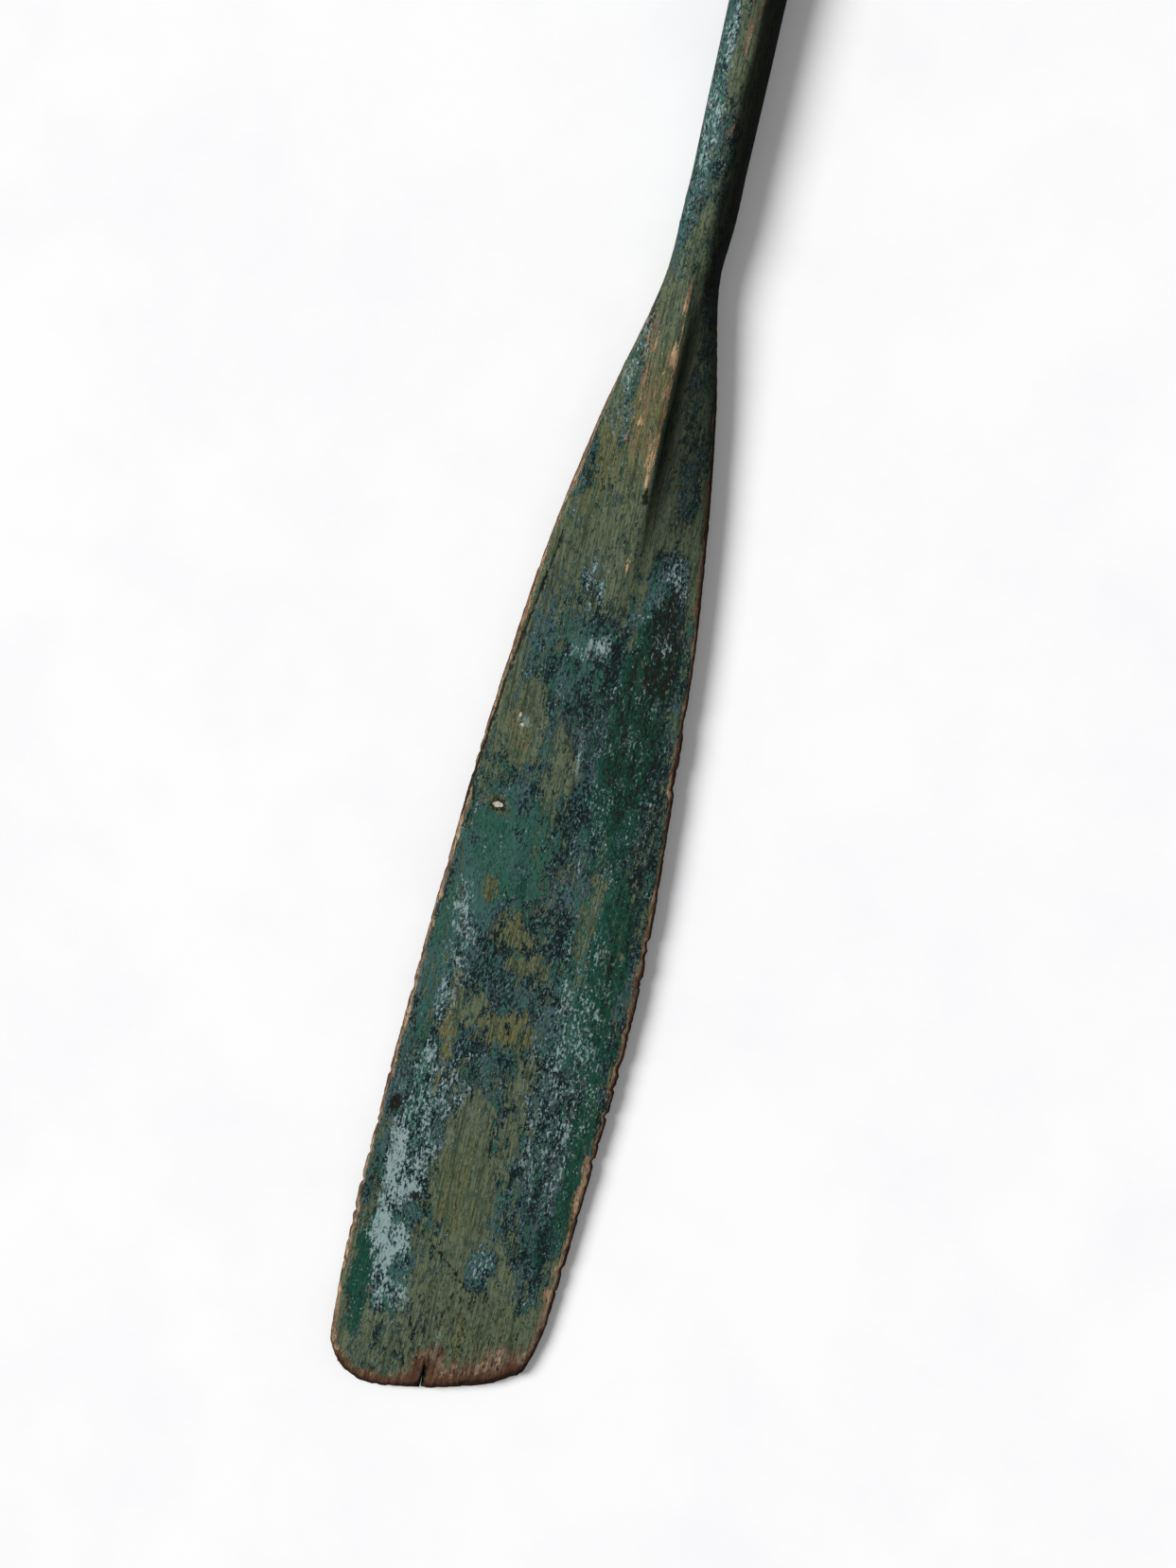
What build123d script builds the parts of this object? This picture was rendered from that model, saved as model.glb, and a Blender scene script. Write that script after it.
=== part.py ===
from build123d import *
import os
from math import cos, exp, pi, sin, sqrt

# A rowing oar in millimetres. +X runs along the loom towards the blade tip, +Y across the blade and
# +Z out of its upper face. The origin is on the loom axis, in the middle of the rowlock seat.

# Whole oar
OVERALL_LENGTH = 2134  # 7 feet
GRIP_END_X = -600
TIP_X = GRIP_END_X + OVERALL_LENGTH

# Hand grip and loom, both turned about the X axis
GRIP_RADIUS = 16.5
GRIP_END_ROUNDING = 8
SHOULDER_START_X = -470
SHOULDER_END_X = -400
LOOM_RADIUS = 22.5
TAPER_START_X = 160
THROAT_START_X = 740
THROAT_RADIUS = 17

# Offsets of the throat and blade. Each station is its distance from the throat's start, the half
# width on the -Y and +Y sides, then half the thickness at the ridge, on the face and at the edges.
BLADE_STATIONS = [
    (32, 17.4, 16.6, 16.9, 16.7, 16.0),
    (64, 18.4, 15.4, 16.8, 15.6, 13.4),
    (100, 25.8, 21.4, 16.2, 12.6, 9.8),
    (140, 35.5, 30.2, 15.0, 9.2, 7.4),
    (190, 45.8, 38.4, 12.6, 7.2, 6.0),
    (250, 55.6, 46.6, 9.2, 6.4, 5.3),
    (320, 63.6, 53.4, 7.0, 6.1, 5.0),
    (410, 70.8, 59.4, 6.2, 5.9, 4.8),
    (520, 77.0, 64.6, 5.6, 5.6, 4.5),
    (600, 80.6, 61.0, 5.2, 5.2, 4.2),
    (690, 83.2, 56.0, 4.8, 4.8, 4.0),
    (760, 81.5, 49.0, 4.4, 4.4, 3.7),
    (810, 78.0, 44.0, 4.2, 4.2, 3.6),
]
SECTION_POINTS = 48
RIDGE_Y = -2
RIDGE_HALF_WIDTH = 13

# Tip of the blade: its end runs between two corners, which are then rounded
TIP_NEAR_CORNER = (TIP_X + 1.5, -80)
TIP_MIDDLE = (TIP_X - 6, -10)
TIP_FAR_CORNER = (TIP_X - 26, 50.5)
TIP_NEAR_RADIUS = 34
TIP_FAR_RADIUS = 18
TIP_EDGE_ROUNDING = 2.5
TIP_SIDE_LENGTH = 120  # over this length the trimming outline spreads clear of the blade's edges
TIP_SIDE_SPREAD = 8

# Leather sleeve that turns in the rowlock, skived thinner at both ends
SEAT_HALF_LENGTH = 120
SLEEVE_INBOARD_X = -190
SLEEVE_OUTBOARD_X = 145
SLEEVE_RADIUS = 25.5
SLEEVE_SKIVED_RADIUS = 24.5
SLEEVE_BEVEL = 1.2
SEAM_ANGLE = 90  # all angles are measured from +Y towards +Z, so the seam is on top
SEAM_GAP = 0.8

# Slanted stitches across the seam
STITCH_LENGTH = 10
STITCH_WIDTH = 1.3
STITCH_SLANT = 30  # degrees from square across the seam
STITCH_PITCH = 5
STITCH_COUNT = 46
STITCH_TOP_RADIUS = SLEEVE_RADIUS - 0.1
STITCH_BOTTOM_RADIUS = SLEEVE_RADIUS - 1.1

# Button, the stop collar on the inboard side of the rowlock
BUTTON_FACE_X = -SEAT_HALF_LENGTH
BASE_STRAP_WIDTH = 40
BASE_STRAP_RADIUS = 29.5
BASE_STRAP_GAP_ANGLE = 270
CAP_STRAP_WIDTH = 36
CAP_STRAP_RADIUS = 34.5
CAP_STRAP_GAP_ANGLE = 210
CAP_STRAP_ROUNDING = 2.5
STRAP_GAP = 0.6

# Copper tacks in one ring at each end of the sleeve
TACK_COUNT = 14
TACK_OUTBOARD_X = SLEEVE_OUTBOARD_X - 12
TACK_INBOARD_X = SLEEVE_INBOARD_X + 15
TACK_HEAD_RADIUS = 3.2
TACK_HEAD_THICKNESS = 0.8
TACK_SHANK_RADIUS = 0.8
TACK_LENGTH = 10

# Copper nails in one ring through the button
NAIL_COUNT = 6
NAIL_X = BUTTON_FACE_X - CAP_STRAP_WIDTH / 2
NAIL_HEAD_RADIUS = 3.5
NAIL_HEAD_THICKNESS = 1.2
NAIL_SHANK_RADIUS = 1.2
NAIL_LENGTH = 20

HEAD_RECESS = 0.05  # how far the rim of a tack or nail head sits below the leather


def flush_top(surface_radius, head_radius):
    """Distance from the loom axis to a flat head whose rim lies just under a round surface."""
    return sqrt(surface_radius**2 - head_radius**2) - HEAD_RECESS


def ring_of_pegs(count, radius, inner, outer):
    """Round pegs standing out from the loom axis on the part's plane, with the seam between two."""
    half_step = 180 / count
    with PolarLocations((inner + outer) / 2, count, start_angle=SEAM_ANGLE + half_step):
        Cylinder(radius, outer - inner, rotation=(0, 90, 0))


def ring_of_nails(count, top, head_radius, head_thickness, shank_radius, length):
    """Flat-headed nails or tacks driven in towards the loom axis."""
    head_bottom = top - head_thickness
    ring_of_pegs(count, head_radius, head_bottom, top)
    ring_of_pegs(count, shank_radius, top - length, head_bottom)


def tube(start_x, end_x, inner_radius, outer_radius, mode=Mode.ADD):
    """A plain tube about the loom axis."""
    with BuildSketch(Plane.YZ.offset(start_x)) as ring:
        Circle(outer_radius)
        Circle(inner_radius, mode=Mode.SUBTRACT)
    extrude(ring.sketch, amount=end_x - start_x, mode=mode)


def outer_rims():
    """The two largest round edges of the part, at the ends of its outside."""
    return edges().filter_by(GeomType.CIRCLE).sort_by(SortBy.RADIUS)[-2:]


def stitches(top_radius):
    """A row of slanted strips that lie round the sleeve, from the bottom of the twine to a top radius."""
    with BuildSketch(Plane.XY) as row:
        with GridLocations(STITCH_PITCH, 1, STITCH_COUNT, 1):
            Rectangle(STITCH_WIDTH, STITCH_LENGTH, rotation=STITCH_SLANT)
    extrude(row.sketch, amount=2 * top_radius)
    tube(-SEAT_HALF_LENGTH, SEAT_HALF_LENGTH, STITCH_BOTTOM_RADIUS, top_radius, mode=Mode.INTERSECT)


def cut_wrap_gap(gap, angle, start_x, end_x):
    """The thin radial gap where the two ends of a wrapped piece of leather meet."""
    outwards = (0, cos(angle * pi / 180), sin(angle * pi / 180))
    middle = ((start_x + end_x) / 2, 0, 0)
    with BuildSketch(Plane(origin=middle, x_dir=(1, 0, 0), z_dir=outwards)) as slot:
        Rectangle(end_x - start_x, gap)
    extrude(slot.sketch, amount=2 * CAP_STRAP_RADIUS, mode=Mode.SUBTRACT)


def section_curve(near, far, ridge, face, edge):
    """Closed curve round the blade at one station, drawn with +Y to the right and +Z up.

    The face falls gently from its middle to the edges, the ridge stands on it as a bell curve, and the
    last factor rounds each edge to a nose as round as the edge is thick. All sections run through their
    points at the same even steps, so that the loft through them stays smooth.
    """
    outline = []
    for step in range(SECTION_POINTS):
        angle = 2 * pi * step / SECTION_POINTS
        across = cos(angle)
        reach = far if across > 0 else near
        y = reach * across
        lens = edge + (face - edge) * (1 - across**2)
        bell = (ridge - face) * exp(-(((y - RIDGE_Y) / RIDGE_HALF_WIDTH) ** 2))
        nose = sqrt(max(0, 1 - abs(across) ** (2 * reach / edge)))
        upper = 1 if sin(angle) >= 0 else -1
        outline.append(Vector(y, upper * (lens + bell) * nose))
    even_steps = [step / SECTION_POINTS for step in range(SECTION_POINTS + 1)]
    return Edge.make_spline(outline, parameters=even_steps, periodic=True)


# Tacks that hold both ends of the sleeve
tack_planes = [Plane.YZ.offset(TACK_OUTBOARD_X), Plane.YZ.offset(TACK_INBOARD_X)]
tack_top = flush_top(SLEEVE_SKIVED_RADIUS, TACK_HEAD_RADIUS)
with BuildPart(*tack_planes) as sleeve_tacks:
    ring_of_nails(
        TACK_COUNT, tack_top, TACK_HEAD_RADIUS, TACK_HEAD_THICKNESS, TACK_SHANK_RADIUS, TACK_LENGTH
    )

# Nails that hold the button
nail_plane = Plane.YZ.offset(NAIL_X)
nail_top = flush_top(CAP_STRAP_RADIUS, NAIL_HEAD_RADIUS)
with BuildPart(nail_plane) as button_nails:
    ring_of_nails(
        NAIL_COUNT, nail_top, NAIL_HEAD_RADIUS, NAIL_HEAD_THICKNESS, NAIL_SHANK_RADIUS, NAIL_LENGTH
    )

# One plank, carved into grip, loom, throat and blade
with BuildPart() as oar_stock:
    with BuildSketch(Plane.XZ):
        with BuildLine():
            Polyline((GRIP_END_X, 0), (GRIP_END_X, GRIP_RADIUS), (SHOULDER_START_X, GRIP_RADIUS))
            Spline(
                (SHOULDER_START_X, GRIP_RADIUS),
                (SHOULDER_END_X, LOOM_RADIUS),
                tangents=((1, 0), (1, 0)),
            )
            Polyline(
                (SHOULDER_END_X, LOOM_RADIUS),
                (TAPER_START_X, LOOM_RADIUS),
                (THROAT_START_X, THROAT_RADIUS),
                (THROAT_START_X, 0),
                (GRIP_END_X, 0),
            )
        make_face()
    revolve(axis=Axis.X)
    fillet(faces().sort_by(Axis.X)[0].edges(), GRIP_END_ROUNDING)

    # throat and blade, lofted past the tip and joined to the loom
    with BuildSketch(Plane.YZ.offset(THROAT_START_X)):
        Circle(THROAT_RADIUS)
    for distance, *sizes in BLADE_STATIONS:
        with BuildSketch(Plane.YZ.offset(THROAT_START_X + distance)):
            with BuildLine():
                add(section_curve(*sizes))
            make_face()
    loft()

    # everything outside the rounded end of the blade is cut away
    side_x = TIP_X - TIP_SIDE_LENGTH
    clear_y = 2 * TIP_SIDE_LENGTH
    with BuildSketch(Plane.XY) as plan:
        with BuildLine():
            ThreePointArc(TIP_NEAR_CORNER, TIP_MIDDLE, TIP_FAR_CORNER)
            Polyline(
                TIP_FAR_CORNER,
                (side_x, TIP_FAR_CORNER[1] + TIP_SIDE_SPREAD),
                (GRIP_END_X - TIP_SIDE_SPREAD, clear_y),
                (GRIP_END_X - TIP_SIDE_SPREAD, -clear_y),
                (side_x, TIP_NEAR_CORNER[1] - TIP_SIDE_SPREAD),
                TIP_NEAR_CORNER,
            )
        make_face()
        fillet(plan.vertices().sort_by_distance(TIP_NEAR_CORNER)[0], TIP_NEAR_RADIUS)
        fillet(plan.vertices().sort_by_distance(TIP_FAR_CORNER)[0], TIP_FAR_RADIUS)
    extrude(amount=2 * LOOM_RADIUS, both=True, mode=Mode.INTERSECT)

    # the rims of the trimmed end are softened; the short edges that cross its thickness are left out
    end_edges = edges().filter_by_position(Axis.X, TIP_X - TIP_SIDE_LENGTH / 2, TIP_X)
    fillet(end_edges.filter_by(lambda edge: abs(edge.center().Z) > 1), TIP_EDGE_ROUNDING)

    add(sleeve_tacks.part, mode=Mode.SUBTRACT)
    add(button_nails.part, mode=Mode.SUBTRACT)

# Twine stitches that close the seam
with BuildPart() as sleeve_stitching:
    stitches(STITCH_TOP_RADIUS)

# Recesses above the heads and the twine, open to the outside of the leather
with BuildPart(*tack_planes) as tack_recesses:
    ring_of_pegs(TACK_COUNT, TACK_HEAD_RADIUS, tack_top - TACK_HEAD_THICKNESS, SLEEVE_RADIUS)
with BuildPart(nail_plane) as nail_recesses:
    ring_of_pegs(NAIL_COUNT, NAIL_HEAD_RADIUS, nail_top - NAIL_HEAD_THICKNESS, CAP_STRAP_RADIUS + 1)
with BuildPart() as stitch_grooves:
    stitches(SLEEVE_RADIUS + 1)

# Leather wrapped round the loom, with its seam, stitch grooves and nail holes
with BuildPart() as leather_sleeve:
    tube(SLEEVE_INBOARD_X, SLEEVE_OUTBOARD_X, LOOM_RADIUS, SLEEVE_SKIVED_RADIUS)
    chamfer(outer_rims(), SLEEVE_BEVEL)
    tube(-SEAT_HALF_LENGTH, SEAT_HALF_LENGTH, LOOM_RADIUS, SLEEVE_RADIUS)
    cut_wrap_gap(SEAM_GAP, SEAM_ANGLE, SLEEVE_INBOARD_X, SLEEVE_OUTBOARD_X)
    for cut in (stitch_grooves, tack_recesses, sleeve_tacks, button_nails):
        add(cut.part, mode=Mode.SUBTRACT)

# First strap of the button, wound on the skived end of the sleeve
with BuildPart() as button_base_strap:
    start = BUTTON_FACE_X - BASE_STRAP_WIDTH
    tube(start, BUTTON_FACE_X, SLEEVE_SKIVED_RADIUS, BASE_STRAP_RADIUS)
    cut_wrap_gap(STRAP_GAP, BASE_STRAP_GAP_ANGLE, start, BUTTON_FACE_X)
    add(button_nails.part, mode=Mode.SUBTRACT)

# Second, outer strap of the button
with BuildPart() as button_cap_strap:
    start = BUTTON_FACE_X - CAP_STRAP_WIDTH
    tube(start, BUTTON_FACE_X, BASE_STRAP_RADIUS, CAP_STRAP_RADIUS)
    fillet(outer_rims(), CAP_STRAP_ROUNDING)
    cut_wrap_gap(STRAP_GAP, CAP_STRAP_GAP_ANGLE, start, BUTTON_FACE_X)
    add(nail_recesses.part, mode=Mode.SUBTRACT)
    add(button_nails.part, mode=Mode.SUBTRACT)

os.makedirs("parts", exist_ok=True)
pieces = {
    "oar_stock": oar_stock,
    "leather_sleeve": leather_sleeve,
    "sleeve_stitching": sleeve_stitching,
    "sleeve_tacks": sleeve_tacks,
    "button_base_strap": button_base_strap,
    "button_cap_strap": button_cap_strap,
    "button_nails": button_nails,
}
for name, piece in pieces.items():
    piece.part.label = name
    export_step(piece.part, f"parts/{name}.step")
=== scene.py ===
import math
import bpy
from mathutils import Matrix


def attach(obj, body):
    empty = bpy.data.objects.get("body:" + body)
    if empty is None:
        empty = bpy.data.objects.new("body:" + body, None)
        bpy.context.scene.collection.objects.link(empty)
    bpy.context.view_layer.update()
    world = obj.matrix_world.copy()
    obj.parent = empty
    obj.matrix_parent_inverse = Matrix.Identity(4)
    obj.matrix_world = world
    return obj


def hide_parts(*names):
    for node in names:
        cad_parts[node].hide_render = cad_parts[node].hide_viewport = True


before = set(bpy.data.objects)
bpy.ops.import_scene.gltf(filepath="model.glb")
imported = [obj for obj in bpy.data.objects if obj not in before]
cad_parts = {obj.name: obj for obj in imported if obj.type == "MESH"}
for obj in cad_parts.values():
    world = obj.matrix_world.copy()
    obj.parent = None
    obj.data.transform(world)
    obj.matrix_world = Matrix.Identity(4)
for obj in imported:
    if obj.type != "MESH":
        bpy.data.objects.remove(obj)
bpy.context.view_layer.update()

from types import SimpleNamespace

import bmesh
import bpy
import numpy as np
from mathutils import Vector, noise
from mathutils.bvhtree import BVHTree

# The visual model of a weathered rowing oar. Sizes are in millimetres in the CAD model's frame: +X runs
# along the loom to the blade tip, +Y across the blade and +Z out of its upper face. Meshes are scaled
# to metres when they are made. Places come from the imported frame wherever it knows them. In names,
# near means the oar's -Y side and far its +Y side.

MM = 0.001

# How the oar divides along its length
LOOM_END = 740  # the loom is round up to here, and the throat begins
THROAT_BLEND = 90  # over this length the round section turns into the blade's section
BLADE_MEASURED_FROM = 870  # the thickness of its face and edges is measured from here to the tip zone
TIP_ZONE = 120  # length of the tip whose rings bend to follow the blade's end
STATION_STEP = 30  # between the places where the blade is measured

# Ridge down the middle of the blade, gentle on its -Y flank and steep on the other
RIDGE_Y = -2.0
RIDGE_NEAR_WIDTH = 15.0
RIDGE_FAR_WIDTH = 4.6
# The face is hollowed out beside the ridge's steep flank
HOLLOW_X = 885
HOLLOW_FROM_CREST = 9
HOLLOW_HALF_LENGTH = 65
HOLLOW_HALF_WIDTH = 6
HOLLOW_DEPTH = 2.4

EDGE_INSET = 7.0  # the edge thickness is measured this far in from the outline

GRIP_ROUNDING = 8  # of the grip's end

# Fineness of the oar's skin
COLUMNS = 58  # across each face
EDGE_CROWDING = 3.0  # how much closer columns stand near the edges
EDGE_CROWDING_REACH = 6.0


# ---------------------------------------------------------------- measuring the CAD model


def node_vertices(node):
    """The vertices of a CAD node in millimetres."""
    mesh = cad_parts[node].data
    points = np.zeros(len(mesh.vertices) * 3)
    mesh.vertices.foreach_get("co", points)
    return points.reshape(-1, 3) / MM


def node_surface(node):
    """A CAD node as a tree that rays can be cast at, in millimetres."""
    polygons = [tuple(polygon.vertices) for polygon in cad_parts[node].data.polygons]
    return BVHTree.FromPolygons([Vector(point) for point in node_vertices(node)], polygons)


def hit(surface, start, direction):
    """The first point where a ray meets the surface."""
    return surface.ray_cast(Vector(start), Vector(direction))[0]


def solids_of(node):
    """The vertices of each separate solid of a CAD node, as a list of arrays."""
    points = node_vertices(node)
    places = {}
    for index, point in enumerate(points):
        places.setdefault(tuple(point.round(2)), []).append(index)
    parent = list(range(len(points)))

    def root(index):
        while parent[index] != index:
            parent[index] = parent[parent[index]]
            index = parent[index]
        return index

    for twins in places.values():
        for twin in twins[1:]:
            parent[root(twin)] = root(twins[0])
    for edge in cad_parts[node].data.edges:
        first, second = edge.vertices
        parent[root(first)] = root(second)
    groups = {}
    for index in range(len(points)):
        groups.setdefault(root(index), []).append(index)
    return [points[group] for group in groups.values()]


def natural_spline(knots, values):
    """A smooth function through the values, straight beyond its ends."""
    knots = np.asarray(knots, float)
    values = np.asarray(values, float)
    count = len(knots)
    gaps = np.diff(knots)
    slopes = np.diff(values) / gaps
    matrix = np.eye(count)
    right = np.zeros(count)
    for i in range(1, count - 1):
        matrix[i, i - 1 : i + 2] = gaps[i - 1], 2 * (gaps[i - 1] + gaps[i]), gaps[i]
        right[i] = 6 * (slopes[i] - slopes[i - 1])
    bend = np.linalg.solve(matrix, right)
    start_slope = slopes[0] - gaps[0] * bend[1] / 6
    end_slope = slopes[-1] + gaps[-1] * bend[-2] / 6

    def curve(x):
        x = np.asarray(x, float)
        inside = np.clip(x, knots[0], knots[-1])
        i = np.clip(np.searchsorted(knots, inside) - 1, 0, count - 2)
        left = (inside - knots[i]) / gaps[i]
        other = 1 - left
        smooth = values[i] * other + values[i + 1] * left
        smooth += gaps[i] ** 2 / 6 * ((other**3 - other) * bend[i] + (left**3 - left) * bend[i + 1])
        return smooth + np.where(x < knots[0], start_slope, end_slope) * (x - inside)

    return curve


# ---------------------------------------------------------------- noise and blending


def smooth_step(value):
    """0 below 0, 1 above 1 and a smooth rise between."""
    value = np.clip(value, 0, 1)
    return value * value * (3 - 2 * value)


def quarter_round(value):
    """Rises like a quarter of a circle, steeply from 0 at 0 and level at 1 and above."""
    return np.sqrt(1 - (1 - np.clip(value, 0, 1)) ** 2)


def mix(low, high, share):
    return low * (1 - share) + high * share


def ripple(points, size, seed, detail=3):
    """Fractal noise from about -1 to 1 at each point. Size is its grain along X, Y and Z."""
    scaled = np.asarray(points, float) / np.asarray(size, float) + seed * 17.3
    return np.array([noise.fractal(Vector(point), 0.9, 2.1, detail) for point in scaled])


def ripple_along(x, size, seed, detail=3):
    """Fractal noise along a line of positions."""
    x = np.asarray(x, float)
    zero = np.zeros_like(x)
    return ripple(np.stack([x, zero + seed * 3.7, zero], axis=-1), (size, 1, 1), seed, detail)


# ---------------------------------------------------------------- making meshes


def make_piece(name, points, faces, material, replaced):
    """A smooth mesh piece of the oar, from points in millimetres, that stands for a CAD node."""
    mesh = bpy.data.meshes.new(name)
    mesh.from_pydata((np.asarray(points, float) * MM).tolist(), [], faces)
    mesh.validate()
    mesh.shade_smooth()
    mesh.materials.append(material)
    piece = bpy.data.objects.new(name, mesh)
    bpy.context.scene.collection.objects.link(piece)
    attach(piece, "root")
    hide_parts(replaced)
    return piece


def add_attribute(piece, name, values):
    """Stores one number per vertex, which the piece's material reads by name."""
    layer = piece.data.attributes.new(name, "FLOAT", "POINT")
    layer.data.foreach_set("value", np.asarray(values, np.float32))


def ring_faces(rings, count):
    """Quads between rings of count vertices each."""
    faces = []
    for ring in range(rings - 1):
        here = ring * count
        there = here + count
        for k in range(count):
            after = (k + 1) % count
            faces.append((here + k, here + after, there + after, there + k))
    return faces


def vertex_normals(points, faces):
    """Unit normals of a mesh that isn't an object yet."""
    points = np.asarray(points, float)
    normals = np.zeros_like(points)
    quads = np.array([face for face in faces if len(face) == 4])
    across = points[quads[:, 2]] - points[quads[:, 0]]
    along = points[quads[:, 3]] - points[quads[:, 1]]
    face_normals = np.cross(across, along)
    for corner in range(4):
        np.add.at(normals, quads[:, corner], face_normals)
    length = np.linalg.norm(normals, axis=1, keepdims=True)
    return normals / np.maximum(length, 1e-9)


# ---------------------------------------------------------------- materials


class Shader:
    """One material's node tree. Most methods add a node and return its output socket.

    The functions that use it call it s, and the noise fields that one material's coats share n.
    """

    def __init__(self, name):
        self.material = bpy.data.materials.new(name)
        self.material.use_nodes = True
        self.tree = self.material.node_tree
        self.surface = self.tree.nodes["Principled BSDF"]
        coordinates = self.tree.nodes.new("ShaderNodeTexCoord")
        self.position = self.vector("MULTIPLY", coordinates.outputs["Object"], (1 / MM, 1 / MM, 1 / MM))

    def feed(self, socket, value):
        """Links another node's output to an input, or sets the input to a plain value."""
        if isinstance(value, bpy.types.NodeSocket):
            self.tree.links.new(value, socket)
        elif isinstance(value, tuple) and socket.type == "RGBA":
            socket.default_value = (*value, 1)
        else:
            socket.default_value = value

    def calculate(self, kind, operation, values):
        """Adds a Math or Vector Math node that works on the values."""
        node = self.tree.nodes.new(kind)
        node.operation = operation
        for socket, value in zip(node.inputs, values):
            self.feed(socket, value)
        return node.outputs[0]

    def vector(self, operation, *values):
        return self.calculate("ShaderNodeVectorMath", operation, values)

    def math(self, operation, *values):
        return self.calculate("ShaderNodeMath", operation, values)

    def add(self, *values):
        total = values[0]
        for value in values[1:]:
            total = self.math("ADD", total, value)
        return total

    def times(self, *values):
        product = values[0]
        for value in values[1:]:
            product = self.math("MULTIPLY", product, value)
        return product

    def inverse(self, value):
        return self.math("SUBTRACT", 1, value)

    def attribute(self, name):
        node = self.tree.nodes.new("ShaderNodeAttribute")
        node.attribute_name = name
        return node.outputs["Fac"]

    def centred(self, value, weight):
        """A value from 0 to 1 as one from minus to plus half the weight."""
        return self.times(self.add(value, -0.5), weight)

    def texture(self, kind, size, stretch, seed):
        """A texture node with grains of the given size in millimetres, drawn out along the oar."""
        scale = (1 / (size * stretch), 1 / size, 1 / size)
        place = self.vector("MULTIPLY_ADD", self.position, scale, (seed * 7.1, seed * 3.3, seed * 5.7))
        node = self.tree.nodes.new(kind)
        self.feed(node.inputs["Vector"], place)
        node.inputs["Scale"].default_value = 1
        return node

    def noise(self, size, stretch=1, detail=4, roughness=0.6, distortion=0, seed=0):
        """Noise from 0 to 1."""
        node = self.texture("ShaderNodeTexNoise", size, stretch, seed)
        node.inputs["Detail"].default_value = detail
        node.inputs["Roughness"].default_value = roughness
        node.inputs["Distortion"].default_value = distortion
        return node.outputs[0]

    def cells(self, size, stretch=1, feature="F1", seed=0):
        """Distance to the nearest cell centre or cell edge, in cells of the given size."""
        node = self.texture("ShaderNodeTexVoronoi", size, stretch, seed)
        node.feature = feature
        return node.outputs["Distance"]

    def step(self, value, low, high):
        """Rises smoothly from 0 at low to 1 at high; with low above high it falls instead."""
        node = self.tree.nodes.new("ShaderNodeMapRange")
        node.interpolation_type = "SMOOTHSTEP"
        rising = low < high
        self.feed(node.inputs["Value"], value)
        node.inputs["From Min"].default_value = min(low, high)
        node.inputs["From Max"].default_value = max(low, high)
        node.inputs["To Min"].default_value = 0 if rising else 1
        node.inputs["To Max"].default_value = 1 if rising else 0
        return node.outputs["Result"]

    def blend(self, share, low, high):
        """Colour that goes from low to high as share goes from 0 to 1."""
        node = self.tree.nodes.new("ShaderNodeMix")
        node.data_type = "RGBA"
        factor, first, second = node.inputs[0], node.inputs[6], node.inputs[7]
        self.feed(factor, share)
        self.feed(first, low)
        self.feed(second, high)
        return node.outputs[2]

    def level(self, share, low, high):
        """Number that goes from low to high as share goes from 0 to 1."""
        node = self.tree.nodes.new("ShaderNodeMix")
        self.feed(node.inputs[0], share)
        self.feed(node.inputs[2], low)
        self.feed(node.inputs[3], high)
        return node.outputs[0]

    def finish(self, color, roughness, height, relief=1.0, **extra):
        """Connects the colour, the roughness and a height in millimetres, and returns the material."""
        self.feed(self.surface.inputs["Base Color"], color)
        self.feed(self.surface.inputs["Roughness"], roughness)
        bump = self.tree.nodes.new("ShaderNodeBump")
        bump.inputs["Strength"].default_value = relief
        bump.inputs["Distance"].default_value = MM
        self.feed(bump.inputs["Height"], height)
        self.feed(self.surface.inputs["Normal"], bump.outputs["Normal"])
        for name, value in extra.items():
            self.feed(self.surface.inputs[name.replace("_", " ")], value)
        return self.material


# Colours of the wood and its coats of paint
GOLD_WOOD = (0.47, 0.32, 0.165)
TAN_WOOD = (0.32, 0.225, 0.145)
BROWN_WOOD = (0.115, 0.068, 0.040)
GREY_WOOD = (0.17, 0.135, 0.10)
PALE_WOOD = (0.50, 0.44, 0.37)
DARK_WOOD = (0.022, 0.012, 0.008)
RIM_WOOD = (0.066, 0.028, 0.016)
OCHRE_COAT = (0.135, 0.127, 0.052)
OLIVE_COAT = (0.108, 0.132, 0.080)
OLIVE_SHADE = (0.014, 0.021, 0.011)
GREEN_STAIN = (0.022, 0.052, 0.032)
SLATE_COAT = (0.052, 0.090, 0.095)
PALE_SLATE = (0.150, 0.215, 0.220)
NAVY_COAT = (0.004, 0.011, 0.013)
TEAL_PAINT = (0.025, 0.090, 0.062)
TEAL_BLUE_PAINT = (0.040, 0.104, 0.090)
EMERALD_PAINT = (0.008, 0.056, 0.034)
CHALK = (0.26, 0.35, 0.345)
THIN_CHALK = (0.105, 0.155, 0.155)
GRIME = (0.008, 0.008, 0.006)
# near black, for the painted shade and shadow on the +Y flank
PAINTED_SHADE = (0.004, 0.004, 0.003)

# Colours of the other materials
TAN_LEATHER = (0.155, 0.070, 0.032)
TAN_LEATHER_STAIN = (0.045, 0.020, 0.011)
BROWN_LEATHER = (0.105, 0.045, 0.022)
BROWN_LEATHER_STAIN = (0.032, 0.014, 0.009)
FLAX = (0.42, 0.34, 0.22)
OLD_FLAX = (0.22, 0.16, 0.09)
FLAX_FIBRE = (0.12, 0.08, 0.045)
TWINE_GRIME = (0.05, 0.032, 0.018)
COPPER = (0.55, 0.24, 0.12)
TARNISH = (0.16, 0.075, 0.04)
VERDIGRIS = (0.10, 0.22, 0.16)
FLOOR_WHITE = (0.86, 0.86, 0.865)
FLOOR_GREY = (0.82, 0.82, 0.83)
FLOOR_CAST = (0.35, 0.35, 0.355)  # the floor's colour as the oar sees it


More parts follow.
